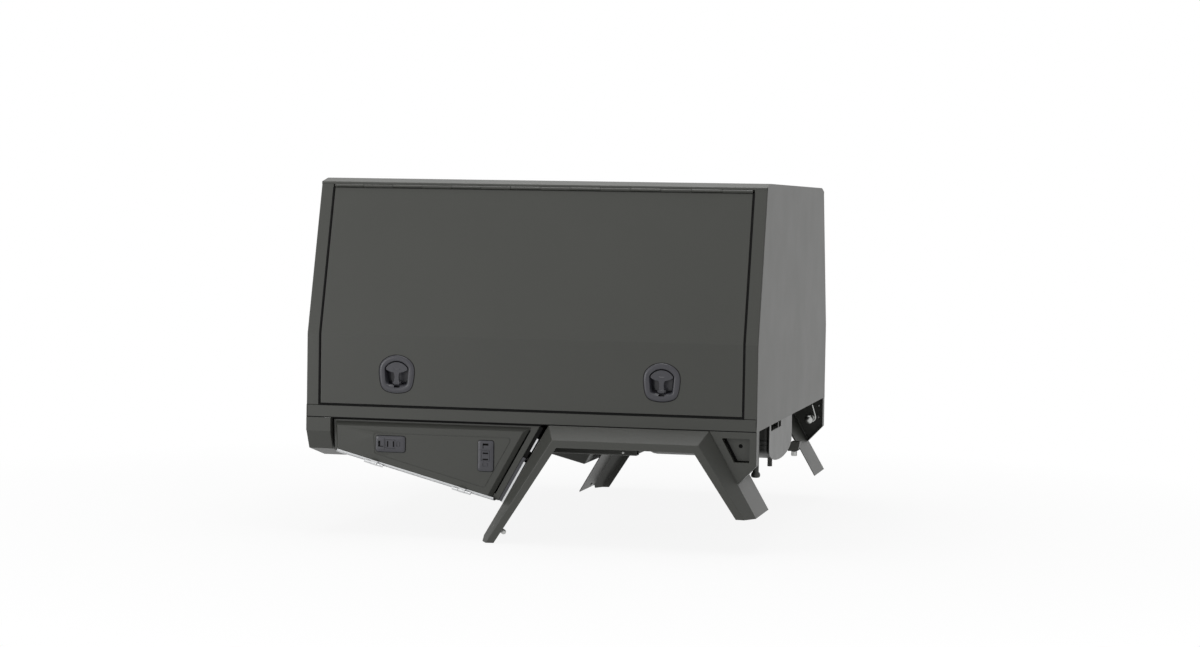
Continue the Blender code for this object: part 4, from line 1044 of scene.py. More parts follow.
class TOOLBOX_OT_push_latches(bpy.types.Operator):
    """Mould the bevelled push latches with their finger pulls, and the slotted buttons in them"""

    bl_idname = "toolbox.push_latches"
    bl_label = "Push latches"

    def execute(self, context):
        bevel = context.scene.tool_box_sizes.push_bevel
        for label, side, name in ends_of_sides():
            latch = Latch(name + "_push_latch", side)
            button = Latch(name + "_push_button", side)
            self.moulding(name, label + "_toolbox", latch, button, bevel)
            self.button(name, latch, button)
        return {"FINISHED"}

    def moulding(self, name, body, latch, button, bevel):
        """The latch's moulding with its pull, seam and window, the black gasket, and the black fill that
        paints the pull's shade.
        """
        front, over = PUSH_PROUD, 2 * PUSH_PROUD
        back = latch.inner - latch.skin
        core = [size - 2 * PUSH_RIM for size in latch.size]
        hole = [size + 2 * BUTTON_CLEAR for size in button.size]
        levels = [(core, less, corner, back + up) for less, corner, up in CORE_LEVELS]
        levels += [(core, *CORE_LEVELS[-1][:2], SKIN_GAP), (latch.size, *EDGE_LEVELS[0][:2], SKIN_GAP)]
        levels += [(latch.size, less, corner, share * front) for less, corner, share in EDGE_LEVELS]
        levels.append((latch.size, 2 * bevel, TOP_CORNER, front))
        levels += [(hole, less, corner, front + up) for less, corner, up in HOLE_LEVELS]
        levels.append((hole, *HOLE_LEVELS[-1][:2], button.inner - latch.skin - BUTTON_TRAVEL))
        moulding = loose(name + "_push_latch_moulding", latch.stack(levels))
        window, pane = (shifted(plate(*shape), WINDOW_AT) for shape in (WINDOW, PANE))
        deep = front - WINDOW_DEEP
        levels = ((window, over), (window, deep), (pane, deep), (pane, over))
        groove = loft([latch.ring(*level) for level in levels], closed=True)
        half = SEAM_WIDTH / 2
        seam = oblong(*SEAM, -half, half)
        carve(moulding, [latch.block(pull_outline(), (front - PULL_DEEP, over)), groove,
                         latch.block(seam, (front - SEAM_DEEP, over))])
        finished(moulding, body, "latch_nylon", [name + "_push_latch"], PUSH_SHARP)
        wider, corner, heights = PUSH_GASKET
        gasket = latch.stack([(latch.size, -wider, corner, out) for out in heights])
        shade_fill = latch.block(pull_outline(), (front - PULL_DEEP, front - PULL_SHADE_FILL))
        piece(name + "_push_gasket_and_shade_fill", gather([gasket, shade_fill]), body, "seal_rubber")

    def button(self, name, latch, button):
        """The slotted button, and the black fills that paint the shade in its slots."""
        low, top = button.inner - latch.skin, button.outer - latch.skin
        levels = [(button.size, *BUTTON_LEVELS[0][:2], low)]
        levels += [(button.size, less, corner, top + up) for less, corner, up in BUTTON_LEVELS]
        key = loose(name + "_push_button_moulding", latch.stack(levels))
        slots = [shifted(plate(*BUTTON_SLOT), at) for at in BUTTON_SLOTS]
        carve(key, [latch.block(slot, (top - BUTTON_SLOT_DEEP, 2 * PUSH_PROUD)) for slot in slots])
        shade_fills = [latch.block(slot, [top - down for down in SLOT_SHADE_FILL_DOWN]) for slot in slots]
        piece(name + "_push_button_shade_fills", gather(shade_fills), name + "_button", "seal_rubber")
        finished(key, name + "_button", "latch_nylon", [name + "_push_button"], PUSH_SHARP)


# The angle in degrees under which a hinge's edges are smooth.
HINGE_SHARP = 50.0
# Bright lip along a toolbox door's lower edge, as (down the door, in from its face), and its reach past
# both ends.
LIP = [(0.0002, -0.0003), (0.0026, -0.0003), (0.0030, 0.0010), (0.0036, 0.0010), (0.0040, -0.0003),
       (0.0070, -0.0003), (0.0076, 0.0004), (0.0076, 0.0090), (0.0002, 0.0090)]
LIP_PAST = (0.004, 0.024)
# Sleeves on the door's knuckles with eased ends, and straps from these to the lip: up from the axis,
# and out of it.
SLEEVE_R = 0.0055
SLEEVE_EASE = 0.0008
STRAP_UP = (0.0037, 0.0108)
STRAP_OUT = (0.0004, -0.0185)


class TOOLBOX_OT_hinges(bpy.types.Operator):
    """Finish the coated piano hinges of the doors and the bright hinge strips of the toolboxes"""

    bl_idname = "toolbox.hinges"
    bl_label = "Hinges"

    def execute(self, context):
        for label, side in SIDES.items():
            for kind, slot, body in (("hinge_frame_leaf", "powder_coat", BOX),
                                     ("hinge_door_leaf", "powder_coat", label + "_gullwing"),
                                     ("toolbox_hinge", "hinge_aluminium", BOX)):
                folded_sheet(label + "_" + kind, LIGHT_SHEET, slot, body, HINGE_SHARP)
            self.toolbox_hinge(label, side)
        return {"FINISHED"}

    def toolbox_hinge(self, label, side):
        """The bright lip along a toolbox door's lower edge, and the sleeves and straps of its knuckles."""
        door = points_of(label + "_toolbox_door")
        skin = Latch(label + "_rear_push_latch", side).skin
        face = [point for point in door if abs(abs(point.y) - skin) < SKIN_GAP]
        start = max(face, key=Vector((-1.0, 0.0, -0.3)).dot)
        end = max(face, key=Vector((0.3, 0.0, -1.0)).dot)
        run = (end - start).normalized()
        down = Vector((run.z, 0.0, -run.x))
        inward = Vector((0.0, -side, 0.0))
        lip = loft([[place + down * a + inward * b for a, b in LIP]
                    for place in (start - run * LIP_PAST[0], end + run * LIP_PAST[1])])
        piece(label + "_toolbox_lip", lip, label + "_toolbox", "hinge_aluminium")
        pivot = joint(label + "_toolbox_drop", "pos_m")
        reaches = []
        for point in door:
            offset = point - pivot
            if (offset - run * offset.dot(run)).length < SLEEVE_R - SKIN_GAP:
                reaches.append(offset.dot(run))
        halfway = (min(reaches) + max(reaches)) / 2
        sleeves = []
        for group in ([r for r in reaches if r < halfway], [r for r in reaches if r > halfway]):
            low, high = min(group), max(group)
            sleeve = [(SLEEVE_R - SLEEVE_EASE, low), (SLEEVE_R, low + SLEEVE_EASE),
                      (SLEEVE_R, high - SLEEVE_EASE), (SLEEVE_R - SLEEVE_EASE, high)]
            sleeves.append(turned(sleeve, pivot, run))
            corner = pivot - down * STRAP_UP[0] - inward * STRAP_OUT[0]
            sleeves.append(bar(corner + run * low, corner + run * high, down * (STRAP_UP[0] - STRAP_UP[1]),
                               inward * (STRAP_OUT[0] - STRAP_OUT[1])))
        piece(label + "_toolbox_sleeves", gather(sleeves), label + "_toolbox", "hinge_aluminium")


# The groove pressed in a toolbox door, by its distance from the casing's top, front, lower and rear
# edges.
GROOVE_INSET = (0.050, 0.065, 0.033, 0.155)
GROOVE_CORNER = 0.010
# Strips on the casing's leaning front side: share of that side, distance inwards, and lift off it.
LINER = ((0.42, 0.99), (0.016, 0.100), (SKIN_GAP, 0.0120))
# The black sheet on the upper part of the side paints the deep shade between the casing and the wheel guard.
SIDE_SHADE_SHEET = ((0.02, 0.415), (0.020, 0.080), (SKIN_GAP, 0.0130))
EDGE_STRIPS = (((0.46, 0.99), (0.013, 0.060), (0.0121, 0.0190)),
               ((0.155, 0.325), (0.013, 0.060), (0.0131, 0.0190)))
STRIP_CORNER = 0.0012
# Black strip between the casing's top and the sill, which paints the shade under the sill: height, and
# how far it stands out of the casing's face.
TOP_SHADE_STRIP = (0.0060, 0.0020)


def casing(label):
    """Corners of the toolbox casing's outline in (x, z): top rear, top front, low front, low rear."""
    node = label + "_toolbox_shell"
    ways = ((-0.1, 0.0, 1.0), (1.0, 0.0, 0.1), (0.1, 0.0, -1.0), (-1.0, 0.0, -0.5))
    return [Vector((point.x, point.z)) for point in (farthest(node, way) for way in ways)]


def side_strip(label, side, span, reach, lifts):
    """A flat strip with eased corners on the casing's leaning front side."""
    top, foot = casing(label)[1:3]
    run = foot - top
    out = Vector((-run.y, 0.0, run.x)).normalized()
    first, last = (share * run.length for share in span)
    outline = rounded(oblong(first, last, *reach), STRIP_CORNER)
    way = run.normalized()
    flat = [Vector((top.x + way.x * a, side * (HALF_W - b), top.y + way.y * a)) for a, b in outline]
    return loft([[point + out * lift for point in flat] for lift in lifts])


class TOOLBOX_OT_toolbox_trim(bpy.types.Operator):
    """Press the groove into the toolbox doors, fix the strips to the casings' leaning sides, and add the
    black strips that paint shade
    """

    bl_idname = "toolbox.toolbox_trim"
    bl_label = "Toolbox trim"

    def execute(self, context):
        sizes = context.scene.tool_box_sizes
        half, deep = sizes.groove_width / 2, sizes.groove_depth
        section = oblong(half, -half, deep, -deep)
        for label, side in SIDES.items():
            self.door(label, side, section)
            piece(label + "_toolbox_liner", side_strip(label, side, *LINER), BOX, "latch_nylon")
            piece(label + "_toolbox_side_shade_sheet", side_strip(label, side, *SIDE_SHADE_SHEET), BOX, "seal_rubber")
            edges = gather([side_strip(label, side, *strip) for strip in EDGE_STRIPS])
            piece(label + "_toolbox_edge_strip", edges, BOX, "hinge_aluminium")
            face = min(abs(corner.y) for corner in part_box(label + "_toolbox_door"))
            rear, front = (Vector((corner.x, side * face, corner.y)) for corner in casing(label)[:2])
            height, proud = TOP_SHADE_STRIP
            shade_bar = bar(rear, front, Vector((0.0, 0.0, -height)), Vector((0.0, side * proud, 0.0)))
            piece(label + "_toolbox_top_shade_strip", shade_bar, BOX, "seal_rubber")
        return {"FINISHED"}

    def door(self, label, side, section):
        """A toolbox door with the groove's section run round its face."""
        skin = Latch(label + "_rear_push_latch", side).skin
        path = rounded(inset(casing(label), GROOVE_INSET), GROOVE_CORNER)
        rings = []
        for here, out in outward(path):
            rings.append([Vector((here.x + out.x * a, side * (skin + b), here.y + out.y * a))
                          for a, b in section])
        door = folded(label + "_toolbox_door", LIGHT_SHEET)
        carve(door, [loft(rings, closed=True)])
        finished(door, label + "_toolbox", "powder_coat", [label + "_toolbox_door"])


# Gas struts, as turned profiles along the strut: the neck from the pivot on the door frame, the tube's
# foot from the neck's end and its top from its own end, the rod's foot from its start and its end from
# the eye's middle.
STRUT_NECK = 0.020
NECK = [(0.0040, 0.0020), (0.0040, STRUT_NECK), (0.0048, STRUT_NECK)]
TUBE_FOOT = [(0.0046, -0.0040), (0.0070, -0.0010), (0.0086, 0.0005), (0.0090, 0.0030)]
TUBE_TOP = [(0.0090, -0.0120), (0.0084, -0.0105), (0.0084, -0.0085), (0.0090, -0.0070), (0.0090, -0.0035),
            (0.0080, -0.0010), (0.0062, 0.0), (0.0044, 0.0), (0.0043, -0.0200)]
ROD_FOOT = [(0.0034, 0.0), (0.0040, 0.0006)]
ROD_END = [(0.0040, -0.0140), (0.0052, -0.0135), (0.0052, -0.0020)]
# The eye at either end of a strut and the stud in it, as profiles across the strut.
EYE_RADIUS = 0.008
EYE = [(0.0058, -0.0050), (0.0074, -0.0046), (EYE_RADIUS, -0.0034), (EYE_RADIUS, 0.0034), (0.0074, 0.0046),
       (0.0058, 0.0050)]
STUD = [(0.0040, -0.0056), (0.0044, -0.0050), (0.0044, 0.0050), (0.0040, 0.0056)]


def moved(profile, along):
    """A turned profile moved along its axis."""
    return [(radius, reach + along) for radius, reach in profile]


class TOOLBOX_OT_gas_struts(bpy.types.Operator):
    """Turn the gas struts: rolled tubes, ground rods and the eyes at both ends"""

    bl_idname = "toolbox.gas_struts"
    bl_label = "Gas struts"

    def execute(self, context):
        for _, _, name in ends_of_sides():
            pivot = joint(name + "_strut_tilt", "pos_m")
            way = joint(name + "_rod_slide", "axis").normalized()
            way = way if way.z > 0 else -way
            top = self.reach(name + "_strut_cylinder", pivot, way)[1]
            tube = turned(moved(TUBE_FOOT, STRUT_NECK) + moved(TUBE_TOP, top), pivot, way)
            tube = gather([tube, turned(NECK, pivot, way)] + self.eye(pivot))
            piece(name + "_strut_tube", tube, name + "_strut", "strut_black", [name + "_strut_cylinder"])
            first, last = self.reach(name + "_strut_rod", pivot, way)
            last -= EYE_RADIUS
            shaft = turned(moved(ROD_FOOT, first) + moved(ROD_END, last), pivot, way)
            shaft = gather([shaft] + self.eye(pivot + way * last))
            piece(name + "_strut_shaft", shaft, name + "_rod", "strut_chrome", [name + "_strut_rod"])
        return {"FINISHED"}

    def reach(self, node, pivot, way):
        """How far a node reaches along a strut, from its pivot."""
        reaches = [(point - pivot).dot(way) for point in points_of(node)]
        return min(reaches), max(reaches)

    def eye(self, place):
        """An eye and its stud."""
        return [turned(profile, place, (1, 0, 0)) for profile in (EYE, STUD)]


# Water tank: its stepped and ribbed near side as (inwards from it, height over the belly's spring), the
# parts of its belly, and its rounded ends as (reach, how far drawn in). Then its end plate, with the
# margin between the two.
TANK_SIDE = [(0.006, 0.1344), (0.006, 0.036), (0.000, 0.033), (0.000, 0.027), (0.002, 0.025), (0.002, 0.019),
             (0.000, 0.017), (0.000, 0.011), (0.002, 0.009), (0.002, 0.003), (0.000, 0.001)]
TANK_ARC = 32
TANK_ENDS = [(0.000, 0.016), (0.003, 0.008), (0.009, 0.002), (0.018, 0.0)]
PLATE_MARGIN = 0.006
PLATE_EDGE = 0.0008
PLATE_EASED_OVER = 40.0
# Notch in the end plate: span from the near side, heights, the tongue's sides and rise. The recess
# behind it.
NOTCH_SPAN = (0.036, 0.276)
NOTCH_HEIGHT = (0.1160, 0.1520)
NOTCH_TONGUE = (0.205, 0.217, 0.020)
RECESS = 0.060
# Drain below the tank: its foot, the ribs' count, start and spacing, and a rib and the neck as (radius,
# share of the drain's drop). Then where it ends within the tank.
DRAIN_FOOT = [(0.0060, 0.0), (0.0078, 0.0006)]
DRAIN_RIBS = 4
RIB_START = 0.001
RIB_PARTS = 5
DRAIN_RIB = [(0.0090, 0.0), (0.0090, 1 / 9), (0.0076, 1 / 7), (0.0076, 1 / 5.4)]
DRAIN_NECK = (0.0088, 0.86)
DRAIN_TOP = 0.036
# Spout: its foot from its lower end, and its neck from its upper one.
SPOUT_FOOT = [(0.0100, 0.0), (0.0135, 0.0012), (0.0156, 0.0040), (0.0165, 0.0085), (0.0162, 0.0120),
              (0.0157, 0.0126), (0.0157, 0.0134), (0.0156, 0.0142), (0.0142, 0.0172), (0.0120, 0.0190),
              (0.0110, 0.0205)]
SPOUT_NECK = [(0.0110, -0.0160), (0.0128, -0.0140), (0.0128, -0.0040), (0.0110, 0.0)]
# Tap: its ball, the stub with its nut from the ball, the flange from the stub's end, and the bend of
# the pipe as (forward, up) from the ball.
TAP_REACH = 0.018
TAP_BALL = [(0.006, -0.0145), (0.0125, -0.0118), (0.0168, -0.0065), (0.0183, 0.0), (0.0168, 0.0065),
            (0.0125, 0.0118), (0.0100, 0.0140), (0.0100, 0.0190), (0.0070, 0.0200)]
TAP_STUB = [(0.0080, 0.004), (0.0080, 0.022), (0.0135, 0.023), (0.0135, 0.037), (0.0080, 0.038)]
TAP_FLANGE = [(0.0080, -0.012), (0.0125, -0.011), (0.0125, -0.002), (0.0100, 0.0)]
TAP_PIPE = [(0.0100, -0.0070), (0.0160, -0.0055), (0.0215, -0.0005), (0.0248, 0.0072), (0.0240, 0.0165),
            (0.0210, 0.0253), (0.0155, 0.0440), (0.0100, 0.0614)]
TAP_PIPE_BACK = 0.030
TAP_PIPE_R = 0.0035


def tank_outline(low, high, spring, side_profile):
    """The tank's section in (y, z): its near side's profile, elliptic belly and upright far side."""
    centre = (low.y + high.y) / 2
    half = (high.y - low.y) / 2
    points = [(low.y + inward, spring + rise) for inward, rise in side_profile]
    for i in range(TANK_ARC + 1):
        angle = math.pi * i / TANK_ARC
        points.append((centre - half * math.cos(angle), spring - (spring - low.z) * math.sin(angle)))
    return points + [(high.y, high.z)]


def crosswise(outline, levels):
    """A flat (y, z) outline drawn out along x."""
    return loft([[Vector((x, y, z)) for y, z in outline] for x in levels])


class TOOLBOX_OT_water_gear(bpy.types.Operator):
    """Mould the water tank with its drain and spout, cut its end plate, and fit the tap"""

    bl_idname = "toolbox.water_gear"
    bl_label = "Water gear"

    def execute(self, context):
        low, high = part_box("tank_bracket")
        spring = min(point.z for point in points_of("tank_bracket") if point.y < low.y + MERGE)
        self.end_plate(low, high, spring)
        self.tank(low, high, spring)
        self.spout()
        self.tap()
        return {"FINISHED"}

    def end_plate(self, low, high, spring):
        """The tank's end plate with its notch, which a tongue of the plate reaches into."""
        outline = tank_outline(low, high, spring, [(0.0, high.z - spring)])
        sheet = loose("tank_end_plate", crosswise(outline, (low.x, high.x)))
        bottom, top = NOTCH_HEIGHT
        first, last, rise = NOTCH_TONGUE
        mouth = [(NOTCH_SPAN[0], bottom), (first, bottom), (first, bottom + rise), (last, bottom + rise),
                 (last, bottom), (NOTCH_SPAN[1], bottom), (NOTCH_SPAN[1], top), (NOTCH_SPAN[0], top)]
        thick = high.x - low.x
        carve(sheet, [crosswise(shifted(mouth, low.y), (low.x - thick, high.x + thick))])
        ease(sheet, PLATE_EDGE, angle=PLATE_EASED_OVER)
        finished(sheet, BOX, "bracket_grey", ["tank_bracket"])

    def tank(self, plate_low, plate_high, spring):
        """The tank within its end plate's outline, with the recess behind the notch and the ribbed drain."""
        foot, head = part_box("water_tank")
        low = Vector((foot.x, plate_low.y + PLATE_MARGIN, plate_low.z + PLATE_MARGIN))
        high = Vector((head.x, plate_high.y - PLATE_MARGIN, head.z))
        section = [Vector(point) for point in tank_outline(low, high, spring, TANK_SIDE)]
        heart = Vector(((low.y + high.y) / 2, (low.z + high.z) / 2))
        ends = [(low.x + reach, shy) for reach, shy in TANK_ENDS]
        ends += [(high.x - reach, shy) for reach, shy in reversed(TANK_ENDS)]
        rings = []
        for x, shy in ends:
            drawn_in = [point + (heart - point).normalized() * shy for point in section]
            rings.append([Vector((x, point.x, point.y)) for point in drawn_in])
        tank = loose("water_tank_moulding", loft(rings))
        recess = shifted(oblong(*NOTCH_SPAN, *NOTCH_HEIGHT), plate_low.y)
        carve(tank, [crosswise(recess, (high.x - RECESS, high.x + RECESS))])
        drop = low.z - foot.z
        ribs = list(DRAIN_FOOT)
        for i in range(DRAIN_RIBS):
            start = RIB_START + i * drop / RIB_PARTS
            ribs += [(radius, start + drop * share) for radius, share in DRAIN_RIB]
        radius, share = DRAIN_NECK
        ribs += [(radius, drop * share), (radius, DRAIN_TOP)]
        lowest = [point for point in points_of("water_tank") if point.z < foot.z + MERGE]
        attach(tank, [turned(ribs, sum(lowest, Vector()) / len(lowest), (0, 0, 1))])
        finished(tank, BOX, "tank_plastic", ["water_tank"])

    def spout(self):
        """The drain spout with its rounded foot."""
        low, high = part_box("drain_spout")
        axis = (low + high) / 2
        profile = SPOUT_FOOT + moved(SPOUT_NECK, high.z - low.z)
        piece("drain_spout_turning", turned(profile, (axis.x, axis.y, low.z), (0, 0, 1)), BOX, "tank_plastic",
              ["drain_spout"])

    def tap(self):
        """The tap: a ball on a stub, and a bent pipe."""
        low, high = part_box("water_tap")
        heart = Vector(((low.x + high.x) / 2, low.y + TAP_REACH, (low.z + high.z) / 2))
        bend = [heart + Vector((out, TAP_PIPE_BACK, up)) for out, up in TAP_PIPE]
        tap = swept("water_tap_turning", bend, "tap_steel", TAP_PIPE_R)
        stub = TAP_STUB + moved(TAP_FLANGE, high.y - heart.y)
        attach(tap, [turned(TAP_BALL, heart, (0, 0, 1)), turned(stub, heart, (0, 1, 0))])
        finished(tap, BOX, "tap_steel", ["water_tap"])


# Fittings on the wheel guards: the stay on the left guard's inner edge as an (x, z) outline with its
# peg, and the dome nut on the right rear leg, as (forward, up) from the foot. Of the nut: the shank's
# length, and the dome's rise and the bolt's radius in half widths. Then how far a rear leg leans.
STAY = [(0.718, -0.0607), (0.762, -0.0590), (0.770, -0.0213), (0.733, -0.0213)]
STAY_SPAN = (0.575, 0.625)
STAY_CORNER = 0.004
STAY_EDGE = 0.0015
PEG = [(0.0095, 0.0), (0.0118, 0.0015), (0.0120, 0.0180), (0.0105, 0.0200)]
PEG_AT = (0.743, 0.600, -0.0815)
NUT_AT = (0.0853, 0.0425)
NUT_Y = 0.925
NUT_SHANK = 0.038
NUT_DOME = 0.6
NUT_BOLT = 0.4
LEG_ANGLE = math.radians(30.0)
LEG_FACING = (math.cos(LEG_ANGLE), 0.0, -math.sin(LEG_ANGLE))


def rear_foot(label):
    """The foot of a wheel guard's rear leg."""
    return farthest(label + "_wheel_guard", (-0.5, 0.0, -1.0))


class TOOLBOX_OT_guard_fittings(bpy.types.Operator):
    """Fit the stay to the left wheel guard, and the dome nut to the right guard's rear leg"""

    bl_idname = "toolbox.guard_fittings"
    bl_label = "Guard fittings"

    def execute(self, context):
        outline = rounded(STAY, STAY_CORNER)
        stay = loose("left_guard_stay", loft([[Vector((x, y, z)) for x, z in outline] for y in STAY_SPAN]))
        ease(stay, STAY_EDGE)
        finished(stay, BOX, "powder_coat")
        piece("left_guard_stay_peg", turned(PEG, PEG_AT, (0, 0, 1)), BOX, "tap_steel")
        half = context.scene.tool_box_sizes.dome_nut / 2
        dome = [(half * math.cos(turn), half * (NUT_DOME + math.sin(turn)))
                for turn in (math.pi / 2 * i / ROUND_STEPS for i in range(ROUND_STEPS))]
        profile = [(NUT_BOLT * half, -NUT_SHANK), (NUT_BOLT * half, -half), (half, -half)] + dome
        foot = rear_foot("right")
        place = Vector((foot.x + NUT_AT[0], -NUT_Y, foot.z + NUT_AT[1]))
        piece("right_dome_nut", turned(profile, place, LEG_FACING), BOX, "tap_steel")
        return {"FINISHED"}


# Fasteners: parts of a domed head, then (width, height, socket) of the latch cases' screws, and how
# much wider than a screw head the bolts are, with (height, socket). Then their places.
HEAD_PARTS = (20, 12)
CASE_SCREW = (0.006, 0.002, 0.0025)
POCKET_WIDER = 1.4
POCKET_HEAD = (0.005, 0.006)
BOLT_WIDER = 1.2
BOLT_HEAD = (0.005, 0.005)
CASE_SCREWS = [(a, b) for a in (-0.031, 0.031) for b in (-0.023, 0.023)]
POCKET_BOLT = (0.76526, 0.08915)
QUARTER_BOLTS = ((0.803, 0.1045), (0.8026, 0.056))
LEG_BOLT_Y = 0.800
LEG_BOLT_UP = 0.026
RAIL_BOLT_X = -0.015
RAIL_BOLT_Z = 0.012


def domed_fasteners(label):
    """Node tree that sets a domed head with a hexagon socket on every point, turned to the point's facing."""
    tree, given = nodes_tree(label, Width="Float", Height="Float", Socket="Float")
    radius = maths(tree, "MULTIPLY", given["Width"], 0.5)
    segments, rings = HEAD_PARTS
    dome = add(tree, "GeometryNodeMeshUVSphere", {"Segments": segments, "Rings": rings, "Radius": 1.0})
    size = add(tree, "ShaderNodeCombineXYZ", {"X": radius, "Y": radius, "Z": given["Height"]}).outputs[0]
    dome = add(tree, "GeometryNodeTransform", {"Geometry": dome.outputs["Mesh"], "Scale": size})
    reach = maths(tree, "MULTIPLY", given["Socket"], 0.5)
    key = add(tree, "GeometryNodeMeshCylinder", {"Vertices": 6, "Radius": reach, "Depth": given["Height"]})
    lift = add(tree, "ShaderNodeCombineXYZ", {"Z": given["Height"]}).outputs[0]
    key = add(tree, "GeometryNodeTransform", {"Geometry": key.outputs["Mesh"], "Translation": lift})
    head = add(tree, "GeometryNodeMeshBoolean", {0: dome.outputs["Geometry"], 1: key.outputs["Geometry"]},
               operation="DIFFERENCE")
    facing = add(tree, "GeometryNodeInputNamedAttribute", {"Name": "facing"}, data_type="FLOAT_VECTOR")
    turn = add(tree, "FunctionNodeAlignRotationToVector", {"Vector": facing.outputs["Attribute"]}, axis="Z")
    spread = add(tree, "GeometryNodeInstanceOnPoints", {
        "Points": given["Geometry"], "Instance": head.outputs["Mesh"], "Rotation": turn.outputs["Rotation"]})
    return close_tree(tree, spread.outputs["Instances"], given["Finish"])


def fasteners(name, spots, body, slot, width, height, socket):
    """Domed heads at (place, facing) spots, as one plain mesh on one body."""
    bm = bmesh.new()
    for place, _ in spots:
        bm.verts.new(place)
    field = loose(name, bm)
    facings = field.data.attributes.new("facing", "FLOAT_VECTOR", "POINT")
    for item, (_, facing) in zip(facings.data, spots):
        item.vector = facing
    grown(field, domed_fasteners, slot, Width=width, Height=height, Socket=socket)
    finished(field, body, slot)


class TOOLBOX_OT_fasteners(bpy.types.Operator):
    """Set the screws and bolts"""

    bl_idname = "toolbox.fasteners"
    bl_label = "Fasteners"

    def execute(self, context):
        head = context.scene.tool_box_sizes.screw_head
        bolts = []
        for label, side in SIDES.items():
            screws = []
            for end in ENDS:
                centre = middle("_".join((label, end, "latch_dish")))
                screws += [(place, (0, -side, 0)) for place in on_skin(side, centre, CASE_SCREWS, CASE_BACK)]
            fasteners(label + "_latch_case_screws", screws, label + "_gullwing", "tap_steel", *CASE_SCREW)
            foot = rear_foot(label)
            ahead = LEG_BOLT_UP * math.tan(LEG_ANGLE) + HEAVY_SHEET
            bolts.append((Vector((foot.x + ahead, side * LEG_BOLT_Y, foot.z + LEG_BOLT_UP)), LEG_FACING))
            rail = side * max(abs(corner.y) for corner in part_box(label + "_subframe_rail"))
            bolts += [(Vector((middle(node).x + RAIL_BOLT_X, rail, RAIL_BOLT_Z)), (0, side, 0))
                      for node in CROSS_MEMBERS]
        places = on_skin(SIDES["right"], Vector(), [POCKET_BOLT], POCKET_FLOOR - POCKET_SHADE_LAYER - POCKET_PLATE)
        fasteners("side_pocket_bolt", [(place, (0, -1, 0)) for place in places], BOX, "seal_rubber",
                  POCKET_WIDER * head, *POCKET_HEAD)
        places = on_skin(SIDES["left"], Vector(), QUARTER_BOLTS, LIGHT_SHEET)
        bolts += [(place, (0, -1, 0)) for place in places]
        fasteners("bolts", bolts, BOX, "tap_steel", BOLT_WIDER * head, *BOLT_HEAD)
        return {"FINISHED"}


# Stage: the camera that the photograph was fitted with, the floor and its fade to white, and the
# surroundings. The lamps, as (name, place, target, size, power), shine from above, from the rear right
# and along the right flank.
CAMERA_AT = (2.2015, -9.5472, 0.9153)
CAMERA_YAW = 0.22065
CAMERA_PITCH = -0.04608
CAMERA_ROLL = 0.01666
CAMERA_LENS = 75.65
CAMERA_SENSOR = 36.0
FLOOR_HALF = 40.0
FLOOR_SHOWN = 0.90
FLOOR_FADE = (1.2, 3.2)
WORLD_LIGHT = 0.35
WHITE = (1.0, 1.0, 1.0, 1.0)
LAMPS = (
    ("top_softbox", (-0.3, 0.1, 4.5), (0.0, 0.0, 0.3), (2.8, 2.8), 100.0),
    ("side_softbox", (-5.0, -6.0, 1.2), (0.0, -0.6, 0.3), (3.0, 3.0), 130.0),
    ("strip_light", (0.0, -1.6, 3.8), (0.0, -0.9, 0.2), (3.0, 0.4), 18.0),
)


